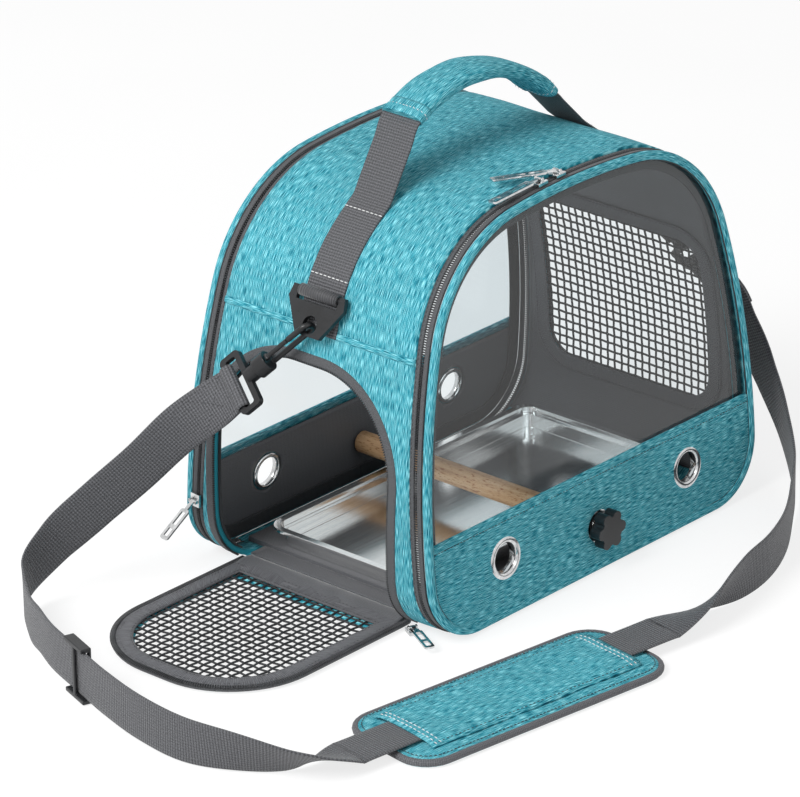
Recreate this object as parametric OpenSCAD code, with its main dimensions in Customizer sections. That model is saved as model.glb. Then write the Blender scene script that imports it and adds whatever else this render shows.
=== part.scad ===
// Bird travel carrier: a soft zipped carrier with two window faces, a fold-down mesh side door,
// a steel tray, a wooden perch, a padded handle and a shoulder strap lying in front of it.
// Millimetres, +Z up. The origin is the middle of the base on the floor, -Y is the front window,
// and -X is the side with the fold-down door.

/* [Overall size] */
// Width across the flat sides
base_w = 390; // [320:5:470]
// Height at the top of the crown
body_h = 325; // [270:5:390]
// Depth at the floor, over both piped faces
base_d = 264; // [220:2:320]
// Angle at which each window face leans in
face_lean = 4; // [0:0.5:6]

/* [Profile] */
// Radius of the two bottom corners
corner_r = 52; // [40:1:64]
// Radius of the two shoulders
shoulder_r = 116; // [96:1:140]
// Radius of the bowed sides
side_r = 635; // [520:5:770]
// Radius of the crown
crown_r = 675; // [560:5:820]
// How far each shoulder is drawn in from the base width
shoulder_draw = 19; // [10:1:24]

/* [Padded walls] */
// Thickness of the padded outer walls
wall_t = 4; // [3:0.5:6]
// Thickness of the inner lining
lining_t = 1; // [0.8:0.1:1.5]
// Depth below the crown of the seam where the top panel overlaps the sides
seam_drop = 97; // [75:1:113]
// Thickness of the stiff floor board
board_t = 4; // [3:0.5:5]

/* [Window faces] */
// Thickness of the piping round each face
piping_d = 7; // [5:0.5:9]
// Width of each zip tape
tape_w = 4.5; // [3:0.5:6]
// Width of the zip coil
coil_w = 3; // [2:0.5:4]
// Height of the fabric band under each window
band_h = 84; // [70:1:100]
// Thickness of the band
band_t = 4; // [3:0.5:5]
// Thickness of the clear window sheet
window_t = 0.8; // [0.5:0.1:1.2]
// Distance of the two large eyelets from the middle
eyelet_x = 109; // [90:1:125]
// Height of the two large eyelets
eyelet_z = 48.5; // [44:0.5:56]
// Outer diameter of the large eyelets
eyelet_od = 37; // [32:1:42]
// Hole diameter of the large eyelets
eyelet_id = 24; // [18:1:27]

/* [Side door] */
// Width of the wall left in front of the door opening
door_front_margin = 20.5; // [18:0.5:40]
// Width of the wall left behind the door opening
door_back_margin = 8.5; // [8:0.5:40]
// Depth of the top of the door opening below the crown
door_drop = 127; // [115:1:165]
// Radius of the arch of the opening
door_r = 76; // [50:1:80]
// Thickness of the door
door_t = 6; // [5:0.5:8]
// Gap between the closed door and its opening
door_gap = 2; // [1.5:0.5:4]

/* [Tray and perch] */
// Gap on each side of the tray where it passes the door opening
tray_side_gap = 6; // [4:0.5:12]
// Gap between the tray's rim and the foot of the door opening
tray_door_gap = 19; // [18:1:60]
// Height of the tray
tray_h = 17; // [12:1:18]
// Diameter of the perch
perch_d = 18; // [12:1:19]
// Height of the perch above the floor
perch_z = 38; // [37:0.5:44]
// Diameter of the knob that holds the perch
knob_d = 32; // [26:1:36]

/* [Handle and strap] */
// Width of the webbing
web_w = 38; // [25:1:50]
// Thickness of the webbing
web_t = 2; // [1.5:0.5:3]
// Height of the handle crest above the crown
grip_rise = 68; // [62:1:82]
// Radius of the bend in the padded grip
grip_r = 132; // [122:1:142]
// Width of the ring at its bar
ring_w = 52; // [46:1:60]
// Length of the shoulder pad
pad_l = 250; // [200:5:280]
// Width of the shoulder pad
pad_w = 96; // [80:2:110]
// Thickness of the shoulder pad
pad_t = 8; // [6:0.5:10]

/* [Hidden] */
$fn = 48;

eps = 0.01;
far = 900;
clear = 0.3;

seam_z = body_h - seam_drop;
door_top = body_h - door_drop;
// Everything on a face, from the outer plane of the piping to the padded wall
zip_strip = piping_d + 2 * tape_w + coil_w;
// Lifts a leaning face so that its inner edge stays on the floor
face_lift = zip_strip * sin(face_lean);

// --- The end profile: four arcs on each side of the middle ---
floor_x = base_w / 2 - corner_r;
corner_c = [floor_x, corner_r];
shoulder_x = base_w / 2 - shoulder_draw - shoulder_r;
crown_c = [0, body_h - crown_r];
shoulder_c = [shoulder_x, crown_c[1] + sqrt(pow(crown_r - shoulder_r, 2) - pow(shoulder_x, 2))];
// The side arc touches the corner and shoulder arcs from outside
side_c = inner_centre(corner_c, side_r - corner_r, shoulder_c, side_r - shoulder_r);
corner_end = angle_from(side_c, corner_c);
side_end = angle_from(side_c, shoulder_c);
shoulder_end = angle_from(crown_c, shoulder_c);

function angle_from(a, b) = atan2(b[1] - a[1], b[0] - a[0]);
function inner_centre(p, rp, q, rq) =
  let (d = q - p, len = norm(d), u = d / len)
  let (along = (rp * rp - rq * rq + len * len) / (2 * len))
  let (off = sqrt(rp * rp - along * along))
  p + u * along + off * [-u[1], u[0]];
function on_circle(c, r, a) = c + r * [cos(a), sin(a)];
function arc(c, r, a0, a1, n) = [for (i = [0:n]) on_circle(c, r, a0 + (a1 - a0) * i / n)];
function flip_x(points) = [for (i = [len(points) - 1:-1:0]) [-points[i][0], points[i][1]]];
// The right half of the profile, t inside the outer skin
function half_outline(t) = concat(
  arc(corner_c, corner_r - t, -90, corner_end, 8),
  arc(side_c, side_r - t, corner_end, side_end, 8),
  arc(shoulder_c, shoulder_r - t, side_end, shoulder_end, 10),
  arc(crown_c, crown_r - t, shoulder_end, 90, 6)
);
function outline(t) = concat(half_outline(t), flip_x(half_outline(t)));
// Half depth of the leaning plane that lies off inside the outer plane of a face, at height z
function face_y(off, z) =
  base_d / 2 - off * cos(face_lean) - tan(face_lean) * (z - face_lift + off * sin(face_lean));

module ring2d(t0, t1) {
  difference() {
    polygon(outline(t0));
    polygon(outline(t1));
  }
}
// Extrudes an end profile drawn in X and Z along Y, from y0 to y1
module along_y(y0, y1) {
  translate([0, y1, 0]) rotate([90, 0, 0]) linear_extrude(y1 - y0) children();
}
// Extrudes a side profile drawn in Y and Z along X, from x0 to x1
module along_x(x0, x1) {
  translate([x0, 0, 0]) rotate([90, 0, 90]) linear_extrude(x1 - x0) children();
}
// Keeps what lies between the two leaning planes that are off inside the faces
module between_faces(off) {
  intersection() {
    children();
    along_x(-far, far) polygon([
      [-face_y(off, -50), -50], [face_y(off, -50), -50],
      [face_y(off, body_h + 50), body_h + 50], [-face_y(off, body_h + 50), body_h + 50]
    ]);
  }
}
// A face's own frame: X across, Y inwards from the outer plane, Z up the leaning face
module front_face() {
  translate([0, -base_d / 2, face_lift]) rotate([-face_lean, 0, 0]) children();
}
module back_face() {
  mirror([0, 1, 0]) front_face() children();
}
module slab(low, high) {
  translate(low) cube(high - low);
}
module tube(od, id, len) {
  difference() {
    cylinder(d = od, h = len);
    translate([0, 0, -1]) cylinder(d = id, h = len + 2);
  }
}
// A rounded rectangle from its middle
module rounded(w, h, r) {
  square([w - 2 * r, h], center = true);
  square([w, h - 2 * r], center = true);
  for (x = [-1, 1]) {
    for (y = [-1, 1]) {
      translate([x * (w / 2 - r), y * (h / 2 - r)]) circle(r);
    }
  }
}

// --- The arch of the door, drawn from the middle of its straight foot ---
module arch2d(inset, foot = 0) {
  w = door_w - 2 * inset;
  h = door_top - door_foot - inset;
  r = arch_r - inset;
  polygon(concat(
    [[-w / 2, foot]],
    [for (i = [0:9]) on_circle([-w / 2 + r, h - r], r, 180 - 10 * i)],
    [for (i = [0:9]) on_circle([w / 2 - r, h - r], r, 90 - 10 * i)],
    [[w / 2, foot]]
  ));
}
door_foot = wall_t;
// Room for the door in the left wall at mid height, in front and behind
door_room = face_y(zip_strip, 120);
door_w = 2 * door_room - door_front_margin - door_back_margin;
door_y = (door_front_margin - door_back_margin) / 2;
arch_r = min(door_r, door_w / 2 - 4);
module door_cut(inset) {
  along_x(-far, -floor_x + 25) translate([door_y, door_foot]) arch2d(inset);
}

// --- Mesh window on the other side ---
mesh_margin = 9;
mesh_y1 = face_y(zip_strip, seam_z) - mesh_margin;
mesh_y0 = -mesh_y1;
mesh_z0 = 62;
mesh_z1 = seam_z - 16;
mesh_r = 26;
mesh_pitch = 9;
mesh_bar = 2.2;
module mesh_window2d(grow) {
  translate([(mesh_y0 + mesh_y1) / 2, (mesh_z0 + mesh_z1) / 2])
    rounded(mesh_y1 - mesh_y0 + 2 * grow, mesh_z1 - mesh_z0 + 2 * grow, mesh_r + grow);
}

// --- Padded walls, on the carrier itself ---
module wall_ring(t0, t1) {
  between_faces(zip_strip) along_y(-base_d / 2, base_d / 2) ring2d(t0, t1);
}
module top_panel() color("lightseagreen") {
  intersection() {
    wall_ring(0, wall_t);
    slab([-far, -far, seam_z], [far, far, far]);
  }
}
module left_side_panel() color("lightseagreen") {
  difference() {
    intersection() {
      wall_ring(0, wall_t);
      slab([-far, -far, -1], [-floor_x, far, seam_z]);
    }
    door_cut(0);
  }
}
module right_side_panel() color("lightseagreen") {
  difference() {
    intersection() {
      wall_ring(0, wall_t);
      slab([floor_x, -far, -1], [far, far, seam_z]);
    }
    along_x(0, far) mesh_window2d(0);
  }
}
module base_panel() color("teal") {
  between_faces(zip_strip) slab([-floor_x, -far, 0], [floor_x, far, wall_t]);
}
board_z = wall_t + board_t;
module floor_board() color("dimgray") {
  between_faces(zip_strip + 1)
    slab([-floor_x, -far, wall_t], [floor_x, far, board_z]);
}
lining_in = wall_t;
module inner_lining() color("dimgray") {
  difference() {
    intersection() {
      between_faces(zip_strip + 1)
        along_y(-base_d / 2, base_d / 2) ring2d(lining_in, lining_in + lining_t);
      slab([-far, -far, board_z + 1], [far, far, far]);
    }
    door_cut(-2);
    along_x(0, far) mesh_window2d(2);
  }
}

// --- Trim round the side door and the mesh window ---
trim_w = 8;
trim_t = 1.4;
module door_opening_trim() color("dimgray") {
  difference() {
    intersection() {
      along_y(-base_d / 2, base_d / 2) ring2d(-trim_t, 0);
      along_x(-far, 0) translate([door_y, door_foot]) difference() {
        arch2d(-trim_w);
        arch2d(0);
      }
    }
    slab([-far, -far, -far], [far, far, door_foot + 4]);
  }
}
sill_t = 1.5;
hinge_x = -floor_x - sqrt(pow(corner_r, 2) - pow(corner_r - door_foot, 2)) - 2;
hinge_z = clear + door_t / 2;
module door_sill() color("dimgray") {
  sill_y = door_w / 2 - 3;
  slab([hinge_x + door_t / 2 + 1.5, door_y - sill_y, door_foot],
       [-floor_x, door_y + sill_y, door_foot + sill_t]);
}
module mesh_holes(y0, y1, z0, z1, pitch, bar) {
  ny = floor((y1 - y0) / pitch);
  nz = floor((z1 - z0) / pitch);
  for (i = [0:ny - 1]) {
    for (j = [0:nz - 1]) {
      translate([(y0 + y1) / 2 + (i - (ny - 1) / 2) * pitch, (z0 + z1) / 2 + (j - (nz - 1) / 2) * pitch])
        square(pitch - bar, center = true);
    }
  }
}
module right_mesh() color("black") {
  intersection() {
    along_y(-base_d / 2, base_d / 2) ring2d(1.4, 2.6);
    along_x(0, far) difference() {
      mesh_window2d(-eps);
      mesh_holes(mesh_y0 + 12, mesh_y1 - 12, mesh_z0 + 12, mesh_z1 - 12, mesh_pitch, mesh_bar);
    }
  }
}
module right_mesh_border() color("dimgray") {
  intersection() {
    along_y(-base_d / 2, base_d / 2) ring2d(-trim_t, 0);
    along_x(0, far) difference() {
      mesh_window2d(trim_w);
      mesh_window2d(0);
    }
  }
}

// --- Zip halves and the hinge strip of a window face, in the face's own frame ---
tape_t = 1.2;
coil_t = 2.6;
tape_in = 0.8;
panel_tape_y = piping_d;
coil_y = piping_d + tape_w;
body_tape_y = coil_y + coil_w;
// Cuts the flat bottom stretch away, where the panel hinges and there is no zip
module above_hinge() {
  difference() {
    children();
    slab([-floor_x, -1, -5], [floor_x, zip_strip + 1, corner_r]);
  }
}
module zip_ring(t, thick, y0, y1) {
  above_hinge() along_y(y0, y1) ring2d(t, t + thick);
}
module body_tape() {
  zip_ring(tape_in, tape_t, body_tape_y, zip_strip);
}
module body_coil() {
  zip_ring(0, coil_t, coil_y + coil_w / 2 + clear / 2, body_tape_y);
}
module panel_tape() {
  zip_ring(tape_in, tape_t, panel_tape_y, coil_y);
}
module panel_coil() {
  zip_ring(0, coil_t, coil_y, coil_y + coil_w / 2 - clear / 2);
}
module hinge_strip() {
  slab([-floor_x, piping_d + clear, 0.2], [floor_x, zip_strip, 1.8]);
}
module front_zip_tape() color("gray") {
  front_face() body_tape();
}
module front_zip_coil() color("dimgray") {
  front_face() body_coil();
}
module back_zip_tape() color("gray") {
  back_face() body_tape();
}
module back_zip_coil() color("dimgray") {
  back_face() body_coil();
}
module panel_hinge_strips() color("teal") {
  front_face() hinge_strip();
  back_face() hinge_strip();
}

// --- A window panel, in the face's own frame ---
band_y = 2;
window_lap = 6;
knob_hole = 14;
module piping() {
  along_y(0, piping_d) ring2d(0, piping_d);
}
module band(middle_hole) {
  difference() {
    intersection() {
      along_y(band_y, band_y + band_t) polygon(outline(piping_d));
      slab([-far, -far, 0], [far, far, band_h]);
    }
    for (x = [-eyelet_x, eyelet_x]) {
      translate([x, 0, eyelet_z]) rotate([-90, 0, 0]) cylinder(d = eyelet_id + 2, h = 20);
    }
    if (middle_hole) {
      translate([0, 0, knob_z]) rotate([-90, 0, 0]) cylinder(d = knob_hole + 2, h = 20);
    }
  }
}
module window() {
  intersection() {
    along_y(band_y + band_t, band_y + band_t + window_t) polygon(outline(piping_d));
    slab([-far, -far, band_h - window_lap], [far, far, far]);
  }
}
module binding() {
  along_y(piping_d + eps, piping_d + 1.2) ring2d(piping_d - 3, piping_d + 9);
}
// An eyelet: a flange outside the band and a barrel through it
module eyelet(od, id) {
  rotate([-90, 0, 0]) {
    translate([0, 0, -1.2]) tube(od, id, 1.2);
    tube(id + 2, id, band_t + 1.2);
    translate([0, 0, band_t]) tube(od - 6, id + 2, 1.2);
  }
}
module eyelets() {
  for (x = [-eyelet_x, eyelet_x]) {
    translate([x, band_y, eyelet_z]) eyelet(eyelet_od, eyelet_id);
  }
}
// The perch lies level, so its hole is a little further up the leaning face than its height
knob_z = (perch_z - face_lift + band_y * sin(face_lean)) / cos(face_lean);
module front_piping() color("lightseagreen") {
  front_face() piping();
}
module front_band() color("teal") {
  front_face() band(true);
}
module front_window() color([0.8, 0.9, 0.95, 0.3]) {
  front_face() window();
}
module front_binding() color("black") {
  front_face() binding();
}
module front_panel_tape() color("gray") {
  front_face() panel_tape();
}
module front_panel_coil() color("dimgray") {
  front_face() panel_coil();
}
module front_eyelets() color("silver") {
  front_face() {
    eyelets();
    translate([0, band_y, knob_z]) eyelet(knob_d - 2, knob_hole);
  }
}
module back_piping() color("lightseagreen") {
  back_face() piping();
}
module back_band() color("teal") {
  back_face() band(false);
}
module back_window() color([0.8, 0.9, 0.95, 0.3]) {
  back_face() window();
}
module back_binding() color("black") {
  back_face() binding();
}
module back_panel_tape() color("gray") {
  back_face() panel_tape();
}
module back_panel_coil() color("dimgray") {
  back_face() panel_coil();
}
module back_eyelets() color("silver") {
  back_face() eyelets();
}

// --- Perch, its bolt and its knob, level along Y ---
band_front_y = -face_y(band_y, perch_z);
perch_gap = 8.4;
perch_y0 = -face_y(perch_gap, perch_z);
perch_y1 = face_y(perch_gap, perch_z - perch_d / 2) - 1;
bolt_d = 6;
bolt_fit = 0.1;
bolt_in = 34;
knob_neck = 3;
knob_head = 10;
knob_gap = 2.2;
knob_y = band_front_y - knob_gap;
module level_y(y) {
  translate([0, y, perch_z]) rotate([-90, 0, 0]) children();
}
module perch() color("burlywood") {
  difference() {
    level_y(perch_y0) cylinder(d = perch_d, h = perch_y1 - perch_y0);
    level_y(perch_y0 - 1) cylinder(d = bolt_d + 2 * bolt_fit, h = bolt_in + 2);
  }
}
module perch_bolt() color("silver") {
  level_y(knob_y) cylinder(d = bolt_d, h = perch_y0 + bolt_in - knob_y);
}
module perch_knob() color("black") {
  lobe_d = knob_d * 0.3;
  level_y(knob_y - knob_neck) cylinder(d = knob_d * 0.55, h = knob_neck);
  level_y(knob_y - knob_neck - knob_head) linear_extrude(knob_head) {
    circle(d = knob_d * 0.75);
    for (i = [0:5]) {
      rotate(60 * i) translate([(knob_d - lobe_d) / 2, 0]) circle(d = lobe_d);
    }
  }
}

// --- Side door, lying open on the floor ---
rim_w = 4;
border_w = 14;
foot_border_w = 24;
outer_border_w = 20;
net_pitch = 9;
net_bar = 2.2;
// The door's own frame: its arch drawn in Y and -X, lying flat
module door_flat(z0, z1) {
  translate([hinge_x - 2, door_y, z0]) rotate([0, 0, 90]) linear_extrude(z1 - z0) children();
}
door_low = hinge_z - door_t / 2;
layer_t = (door_t - 1.2) / 3;
module door_rim() color("dimgray") {
  door_flat(door_low, door_low + door_t) difference() {
    arch2d(door_gap);
    arch2d(door_gap + rim_w, -1);
  }
}
module door_layer(level, side_inner, foot_inner) {
  z = door_low + 0.6 + level * layer_t;
  door_flat(z, z + layer_t) difference() {
    arch2d(door_gap + rim_w);
    arch2d(door_gap + rim_w + side_inner, foot_inner);
  }
}
module door_outer_border() color("lightseagreen") {
  door_layer(0, outer_border_w, foot_border_w + 8);
}
module door_net() color("black") {
  net_in = door_gap + rim_w + border_w;
  half_open = door_w / 2 - net_in;
  z = door_low + 0.6 + layer_t;
  door_flat(z, z + layer_t) difference() {
    arch2d(door_gap + rim_w);
    intersection() {
      arch2d(net_in + net_bar, foot_border_w + net_bar);
      mesh_holes(-half_open, half_open, foot_border_w, door_top - door_foot - net_in,
                 net_pitch, net_bar);
    }
  }
}
module door_inner_border() color("dimgray") {
  door_layer(2, border_w, foot_border_w);
}
flap_w = 14;
module door_hinge_flap() color("gray") {
  flap_y = door_w / 2 - door_gap - rim_w - 2;
  slab([hinge_x - 2 - flap_w, door_y - flap_y, door_low + door_t - 0.6],
       [hinge_x - 2, door_y + flap_y, door_low + door_t + 0.4]);
}

// --- Tray ---
tray_z = board_z + clear;
sheet_t = 0.9;
rim_out = 9;
tray_r = 16;
// The tray's foot reaches almost to the lining of the far bottom corner
inner_corner = corner_r - lining_in - lining_t;
tray_reach = floor_x + sqrt(pow(inner_corner, 2) - pow(corner_r - tray_z, 2)) - 2;
tray_x1 = tray_reach + rim_out;
tray_x0 = hinge_x + tray_door_gap;
tray_l = tray_x1 - tray_x0;
tray_w = door_w - 2 * tray_side_gap;
tray_x = (tray_x0 + tray_x1) / 2;
module tray_frame(w_in, z0, z1, thick) {
  translate([0, 0, z0]) linear_extrude(z1 - z0) difference() {
    rounded(tray_l - 2 * w_in, tray_w - 2 * w_in, tray_r - w_in);
    rounded(tray_l - 2 * (w_in + thick), tray_w - 2 * (w_in + thick), tray_r - w_in - thick);
  }
}
module tray() color("silver") {
  step = 5;
  translate([tray_x, door_y, tray_z]) {
    linear_extrude(sheet_t) rounded(tray_l - 2 * rim_out, tray_w - 2 * rim_out, tray_r - rim_out);
    tray_frame(rim_out, 0, tray_h - step, sheet_t);
    tray_frame(rim_out - 4, tray_h - step - sheet_t, tray_h - step, 4 + sheet_t);
    tray_frame(rim_out - 4, tray_h - step - sheet_t, tray_h, sheet_t);
    tray_frame(0, tray_h - sheet_t, tray_h, rim_out - 4 + sheet_t);
    tray_frame(0, tray_h - 3, tray_h, sheet_t);
  }
}

// --- Padded handle over the crown, drawn in X and Z ---
// The grip hangs a little lower on the right, as a soft handle does
grip_t = 14;
grip_w = web_w + 2;
grip_c = [-14, body_h + grip_rise - grip_t / 2 - grip_r];
grip_right = 45;
grip_left = 119;
lift_a = 66;
// Holds the webbing's facets clear of the wall's
web_lift = 0.25;
web_low_a = asin((seam_z - 5 - side_c[1]) / side_r);
module grip_section() {
  r = grip_t / 2;
  square([grip_t, grip_w - grip_t], center = true);
  for (s = [-1, 1]) {
    translate([0, s * (grip_w - grip_t) / 2]) circle(r);
  }
}
module handle_grip() color("lightseagreen") {
  translate([grip_c[0], 0, grip_c[1]]) rotate([90, 0, 0]) rotate([0, 0, grip_right])
    rotate_extrude(angle = grip_left - grip_right, $fn = 96) translate([grip_r, 0])
      grip_section();
}
// The webbing lies on the shoulder, then leaves it and runs up to the middle of the grip's end
module web_side(grip_end) {
  low = web_lift;
  high = web_lift + web_t;
  join_a = side_end + 4;
  polygon(concat(
    arc(side_c, side_r + low, web_low_a, side_end, 2),
    arc(shoulder_c, shoulder_r + low, join_a, lift_a, 8),
    [grip_end[0], grip_end[1]],
    arc(shoulder_c, shoulder_r + high, lift_a, join_a, 8),
    arc(side_c, side_r + high, side_end, web_low_a, 2)
  ));
}
function grip_end(a) = [
  on_circle(grip_c, grip_r - web_t / 2, a), on_circle(grip_c, grip_r + web_t / 2, a)];
module handle_webbing() color("dimgray") {
  left_end = grip_end(grip_left);
  loop_in = bar_d + 2 * clear;
  difference() {
    union() {
      along_y(-web_w / 2, web_w / 2) {
        web_side(grip_end(grip_right));
        mirror([1, 0]) web_side([[-left_end[0][0], left_end[0][1]],
                                 [-left_end[1][0], left_end[1][1]]]);
      }
      for (s = [-1, 1]) {
        at_bar(s) translate([0, 0, -web_w / 2]) cylinder(d = loop_in + 2 * web_t, h = web_w);
      }
    }
    for (s = [-1, 1]) {
      at_bar(s) translate([0, 0, -web_w / 2 - 1]) cylinder(d = loop_in, h = web_w + 2);
    }
  }
}

// --- Ring and snap hook. A ring's frame: X outwards, Y along its bar, -Z down the ring ---
bar_d = 5;
ring_t = 4;
ring_drop = 24;
ring_hole = 14;
ring_off = web_t + clear + bar_d / 2 + web_t;
ring_a = 23;
// The hook's wire behind the ring holds its foot a little off the wall
ring_lean = 4;
ring_pos = on_circle(shoulder_c, shoulder_r + ring_off, ring_a);
// Places a part on the left (s = -1) or right (s = 1) shoulder, along the wall
module ring_place(s) {
  mirror([s < 0 ? 1 : 0, 0, 0])
    translate([ring_pos[0], 0, ring_pos[1]]) rotate([0, -ring_a - ring_lean, 0]) children();
}
module at_bar(s) {
  ring_place(s) rotate([90, 0, 0]) children();
}
module plate_x(thick) {
  translate([-thick / 2, 0, 0]) rotate([90, 0, 90]) linear_extrude(thick) children();
}
module ring() {
  slot_h = 5;
  rotate([90, 0, 0]) translate([0, 0, -ring_w / 2]) cylinder(d = bar_d, h = ring_w);
  difference() {
    plate_x(ring_t) polygon([
      [-ring_w / 2, 3], [ring_w / 2, 3], [ring_w / 2 + 2, -7], [12, -ring_drop - 9],
      [-12, -ring_drop - 9], [-ring_w / 2 - 2, -7]
    ]);
    plate_x(ring_t + 2) translate([-(web_w + 3) / 2, -slot_h - 2.5]) square([web_w + 3, slot_h + 9]);
    translate([-10, 0, -ring_drop]) rotate([0, 90, 0]) cylinder(d = ring_hole, h = 20);
  }
}
// A hook's frame: its wire passes the ring's hole at the origin, and -Z runs down the hook
hook_turn = 40;
wire_d = 4.6;
bow_r = 5.6;
bow_len = 46;
hook_neck = 12;
gate_foot = 43.4;
gate_len = 24;
swivel_len = 10;
loop_w = web_w + 12;
loop_h = 18;
hook_end = bow_len + hook_neck;
module hook_place(s) {
  ring_place(s) translate([0, 0, -ring_drop]) rotate([-s * hook_turn, 0, 0]) children();
}
module rod(x, z0, z1, d) {
  translate([x, 0, z0]) cylinder(d = d, h = z1 - z0);
}
module hook() {
  translate([0, 0, -bow_r]) rotate([90, 0, 0])
    rotate_extrude(angle = 180) translate([bow_r, 0]) circle(d = wire_d);
  rod(-bow_r, -bow_len - 1, -bow_r, wire_d);
  rod(bow_r, -gate_foot + gate_len - 1.5, -bow_r, wire_d);
  translate([0, 0, -bow_len - hook_neck]) cylinder(d = 2 * bow_r + wire_d + 1.2, h = hook_neck);
}
module gate() {
  rod(bow_r, -gate_foot, -gate_foot + gate_len - 2.2, wire_d - 0.8);
  translate([bow_r, 0, -gate_foot]) rotate([90, 0, 0])
    translate([0, 0, -wire_d / 2]) cylinder(d = wire_d - 0.6, h = wire_d);
}
module swivel() {
  z = -hook_end - clear;
  translate([0, 0, z - swivel_len]) cylinder(d = 13, h = swivel_len);
  translate([0, 0, z - swivel_len - loop_h / 2 + 1]) plate_x(5) difference() {
    rounded(loop_w, loop_h + 2, 4);
    rounded(web_w + 4, loop_h - 8, 2);
  }
}
module left_ring() color("black") {
  ring_place(-1) ring();
}
module left_hook() color("black") {
  hook_place(-1) hook();
}
module left_gate() color("black") {
  hook_place(-1) gate();
}
module left_swivel() color("black") {
  hook_place(-1) swivel();
}
module right_ring() color("black") {
  ring_place(1) ring();
}
module right_hook() color("black") {
  hook_place(1) hook();
}
module right_gate() color("black") {
  hook_place(1) gate();
}
module right_swivel() color("black") {
  hook_place(1) swivel();
}

// --- Zip sliders and pulls. Frame: X along the zip, Y across it, Z away from the tape ---
slider_l = 11;
slider_w = 9;
slider_h = 3;
lug_l = 3;
lug_w = 1.4;
lug_h = 3.4;
lug_y = 3.2;
link_l = 9;
link_w = 3;
long_pull = 46;
short_pull = 30;
pull_w = 8;
pull_t = 1.6;
bail_d = 2.4;
bail_l = 4.2;
chain_mid = coil_y + coil_w / 2;
module slider() {
  translate([-slider_l / 2, -slider_w / 2, clear]) cube([slider_l, slider_w, slider_h]);
  for (y = [-1, 1]) {
    translate([-lug_l / 2, y * lug_y - lug_w / 2, slider_h]) cube([lug_l, lug_w, lug_h]);
  }
}
bail_z = slider_h + 2.2;
module pull(pull_l) {
  translate([0, 0, bail_z]) rotate([90, 0, 0]) translate([0, 0, -bail_l / 2])
    cylinder(d = bail_d, h = bail_l);
  translate([0, 0, bail_z - pull_t / 2]) linear_extrude(pull_t) difference() {
    union() {
      translate([-link_l - pull_l / 2, 0]) rounded(pull_l, pull_w, 2);
      translate([-link_l - 2, -link_w / 2]) square([link_l + 2 + bail_d / 2, link_w]);
    }
    translate([-link_l - pull_l * 0.3, 0]) rounded(pull_l * 0.44, 3.9, 1);
    translate([-link_l - pull_l + 7, 0]) rounded(8, 3.9, 0.6);
  }
}
// A pull turned up about its bail
module raised_pull(pull_l, angle) {
  translate([0, 0, bail_z]) rotate([0, angle, 0]) translate([0, 0, -bail_z]) pull(pull_l);
}
// Places a slider on the front zip, at an angle of the crown arc
slider_a_x = -10;
slider_b_x = -31;
function crown_angle(x) = acos(x / crown_r);
module on_crown(x) {
  a = crown_angle(x);
  front_face() translate([crown_r * cos(a), chain_mid, crown_c[1] + crown_r * sin(a)])
    rotate([0, 90 - a, 0]) children();
}
// The first slider's pull lies beside the second slider, turned aside and a little lifted
pull_fan = 24;
pull_lift = 4;
module front_slider_a() color("silver") {
  on_crown(slider_a_x) slider();
}
module front_pull_a() color("silver") {
  on_crown(slider_a_x) rotate([0, 0, -pull_fan]) raised_pull(long_pull, pull_lift);
}
module front_slider_b() color("silver") {
  on_crown(slider_b_x) slider();
}
module front_pull_b() color("silver") {
  on_crown(slider_b_x) pull(long_pull);
}
// The back slider stands at the foot of the left side arc, its pull hanging out from the wall
back_slider_a = corner_end + 0.6;
back_pull_out = 58;
module on_back_side() {
  p = on_circle(side_c, side_r, back_slider_a);
  back_face() translate([-p[0], chain_mid, p[1]]) rotate([0, back_slider_a - 90, 0]) children();
}
module back_slider() color("silver") {
  on_back_side() slider();
}
module back_pull() color("silver") {
  on_back_side() raised_pull(short_pull, back_pull_out);
}
// The door's slider is parked at the front foot of the opening
door_pull_turn = 62;
module at_door_foot() {
  translate([hinge_x - 12, door_y - door_w / 2 - 8, 0.4]) rotate([0, 0, door_pull_turn])
    children();
}
module door_slider() color("silver") {
  at_door_foot() slider();
}
module door_pull() color("silver") {
  at_door_foot() pull(short_pull);
}

// --- Shoulder strap: centre of the webbing and the tilt of its width (90 stands on edge) ---
pad_at = [-215, -223];
pad_yaw = -8;
pad_z = clear;
strap_gap = 0.5;
pad_run_z = pad_z + pad_t + strap_gap + web_t / 2;
edge_z = web_w / 2 + 0.6;
adjuster_h = web_w + 8;
stand_z = adjuster_h / 2 + 0.5;
function on_pad(d) = [pad_at[0] + d * cos(pad_yaw), pad_at[1] + d * sin(pad_yaw), pad_run_z, 0];
strap_route = [
  [-214.3, 56.6, 172.4, 52], [-222, 70, 159, 66], [-238, 92, 137, 84], [-260, 113, 108, 90],
  [-285, 137, 78, 90], [-312, 156, 50, 90], [-344, 156, 29, 90], [-372, 124, edge_z + 1, 90],
  [-390, 94, stand_z, 90],
  [-404, 66, stand_z, 90], [-418, 26, stand_z, 90], [-432, -14, stand_z, 90],
  [-442, -60, edge_z + 2, 90], [-444, -106, edge_z, 88], [-434, -148, edge_z, 74],
  [-414, -182, edge_z - 4, 50], [-392, -197, edge_z - 7, 24],
  on_pad(-156), on_pad(-140), on_pad(0), on_pad(140), on_pad(156),
  [-30, -249, edge_z - 6, 26], [2, -250, edge_z - 1, 62], [36, -247, edge_z, 86],
  [74, -239, edge_z, 90], [116, -221, edge_z, 90], [158, -194, edge_z + 2, 90],
  [196, -166, edge_z + 9, 90], [222, -134, 52, 92], [232, -106, 86, 98],
  [230, -83, 126, 110], [223, -69, 154, 122], [214.6, -57, 171.4, 128]
];
function route_at(i) = strap_route[min(max(i, 0), len(strap_route) - 1)];
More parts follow.
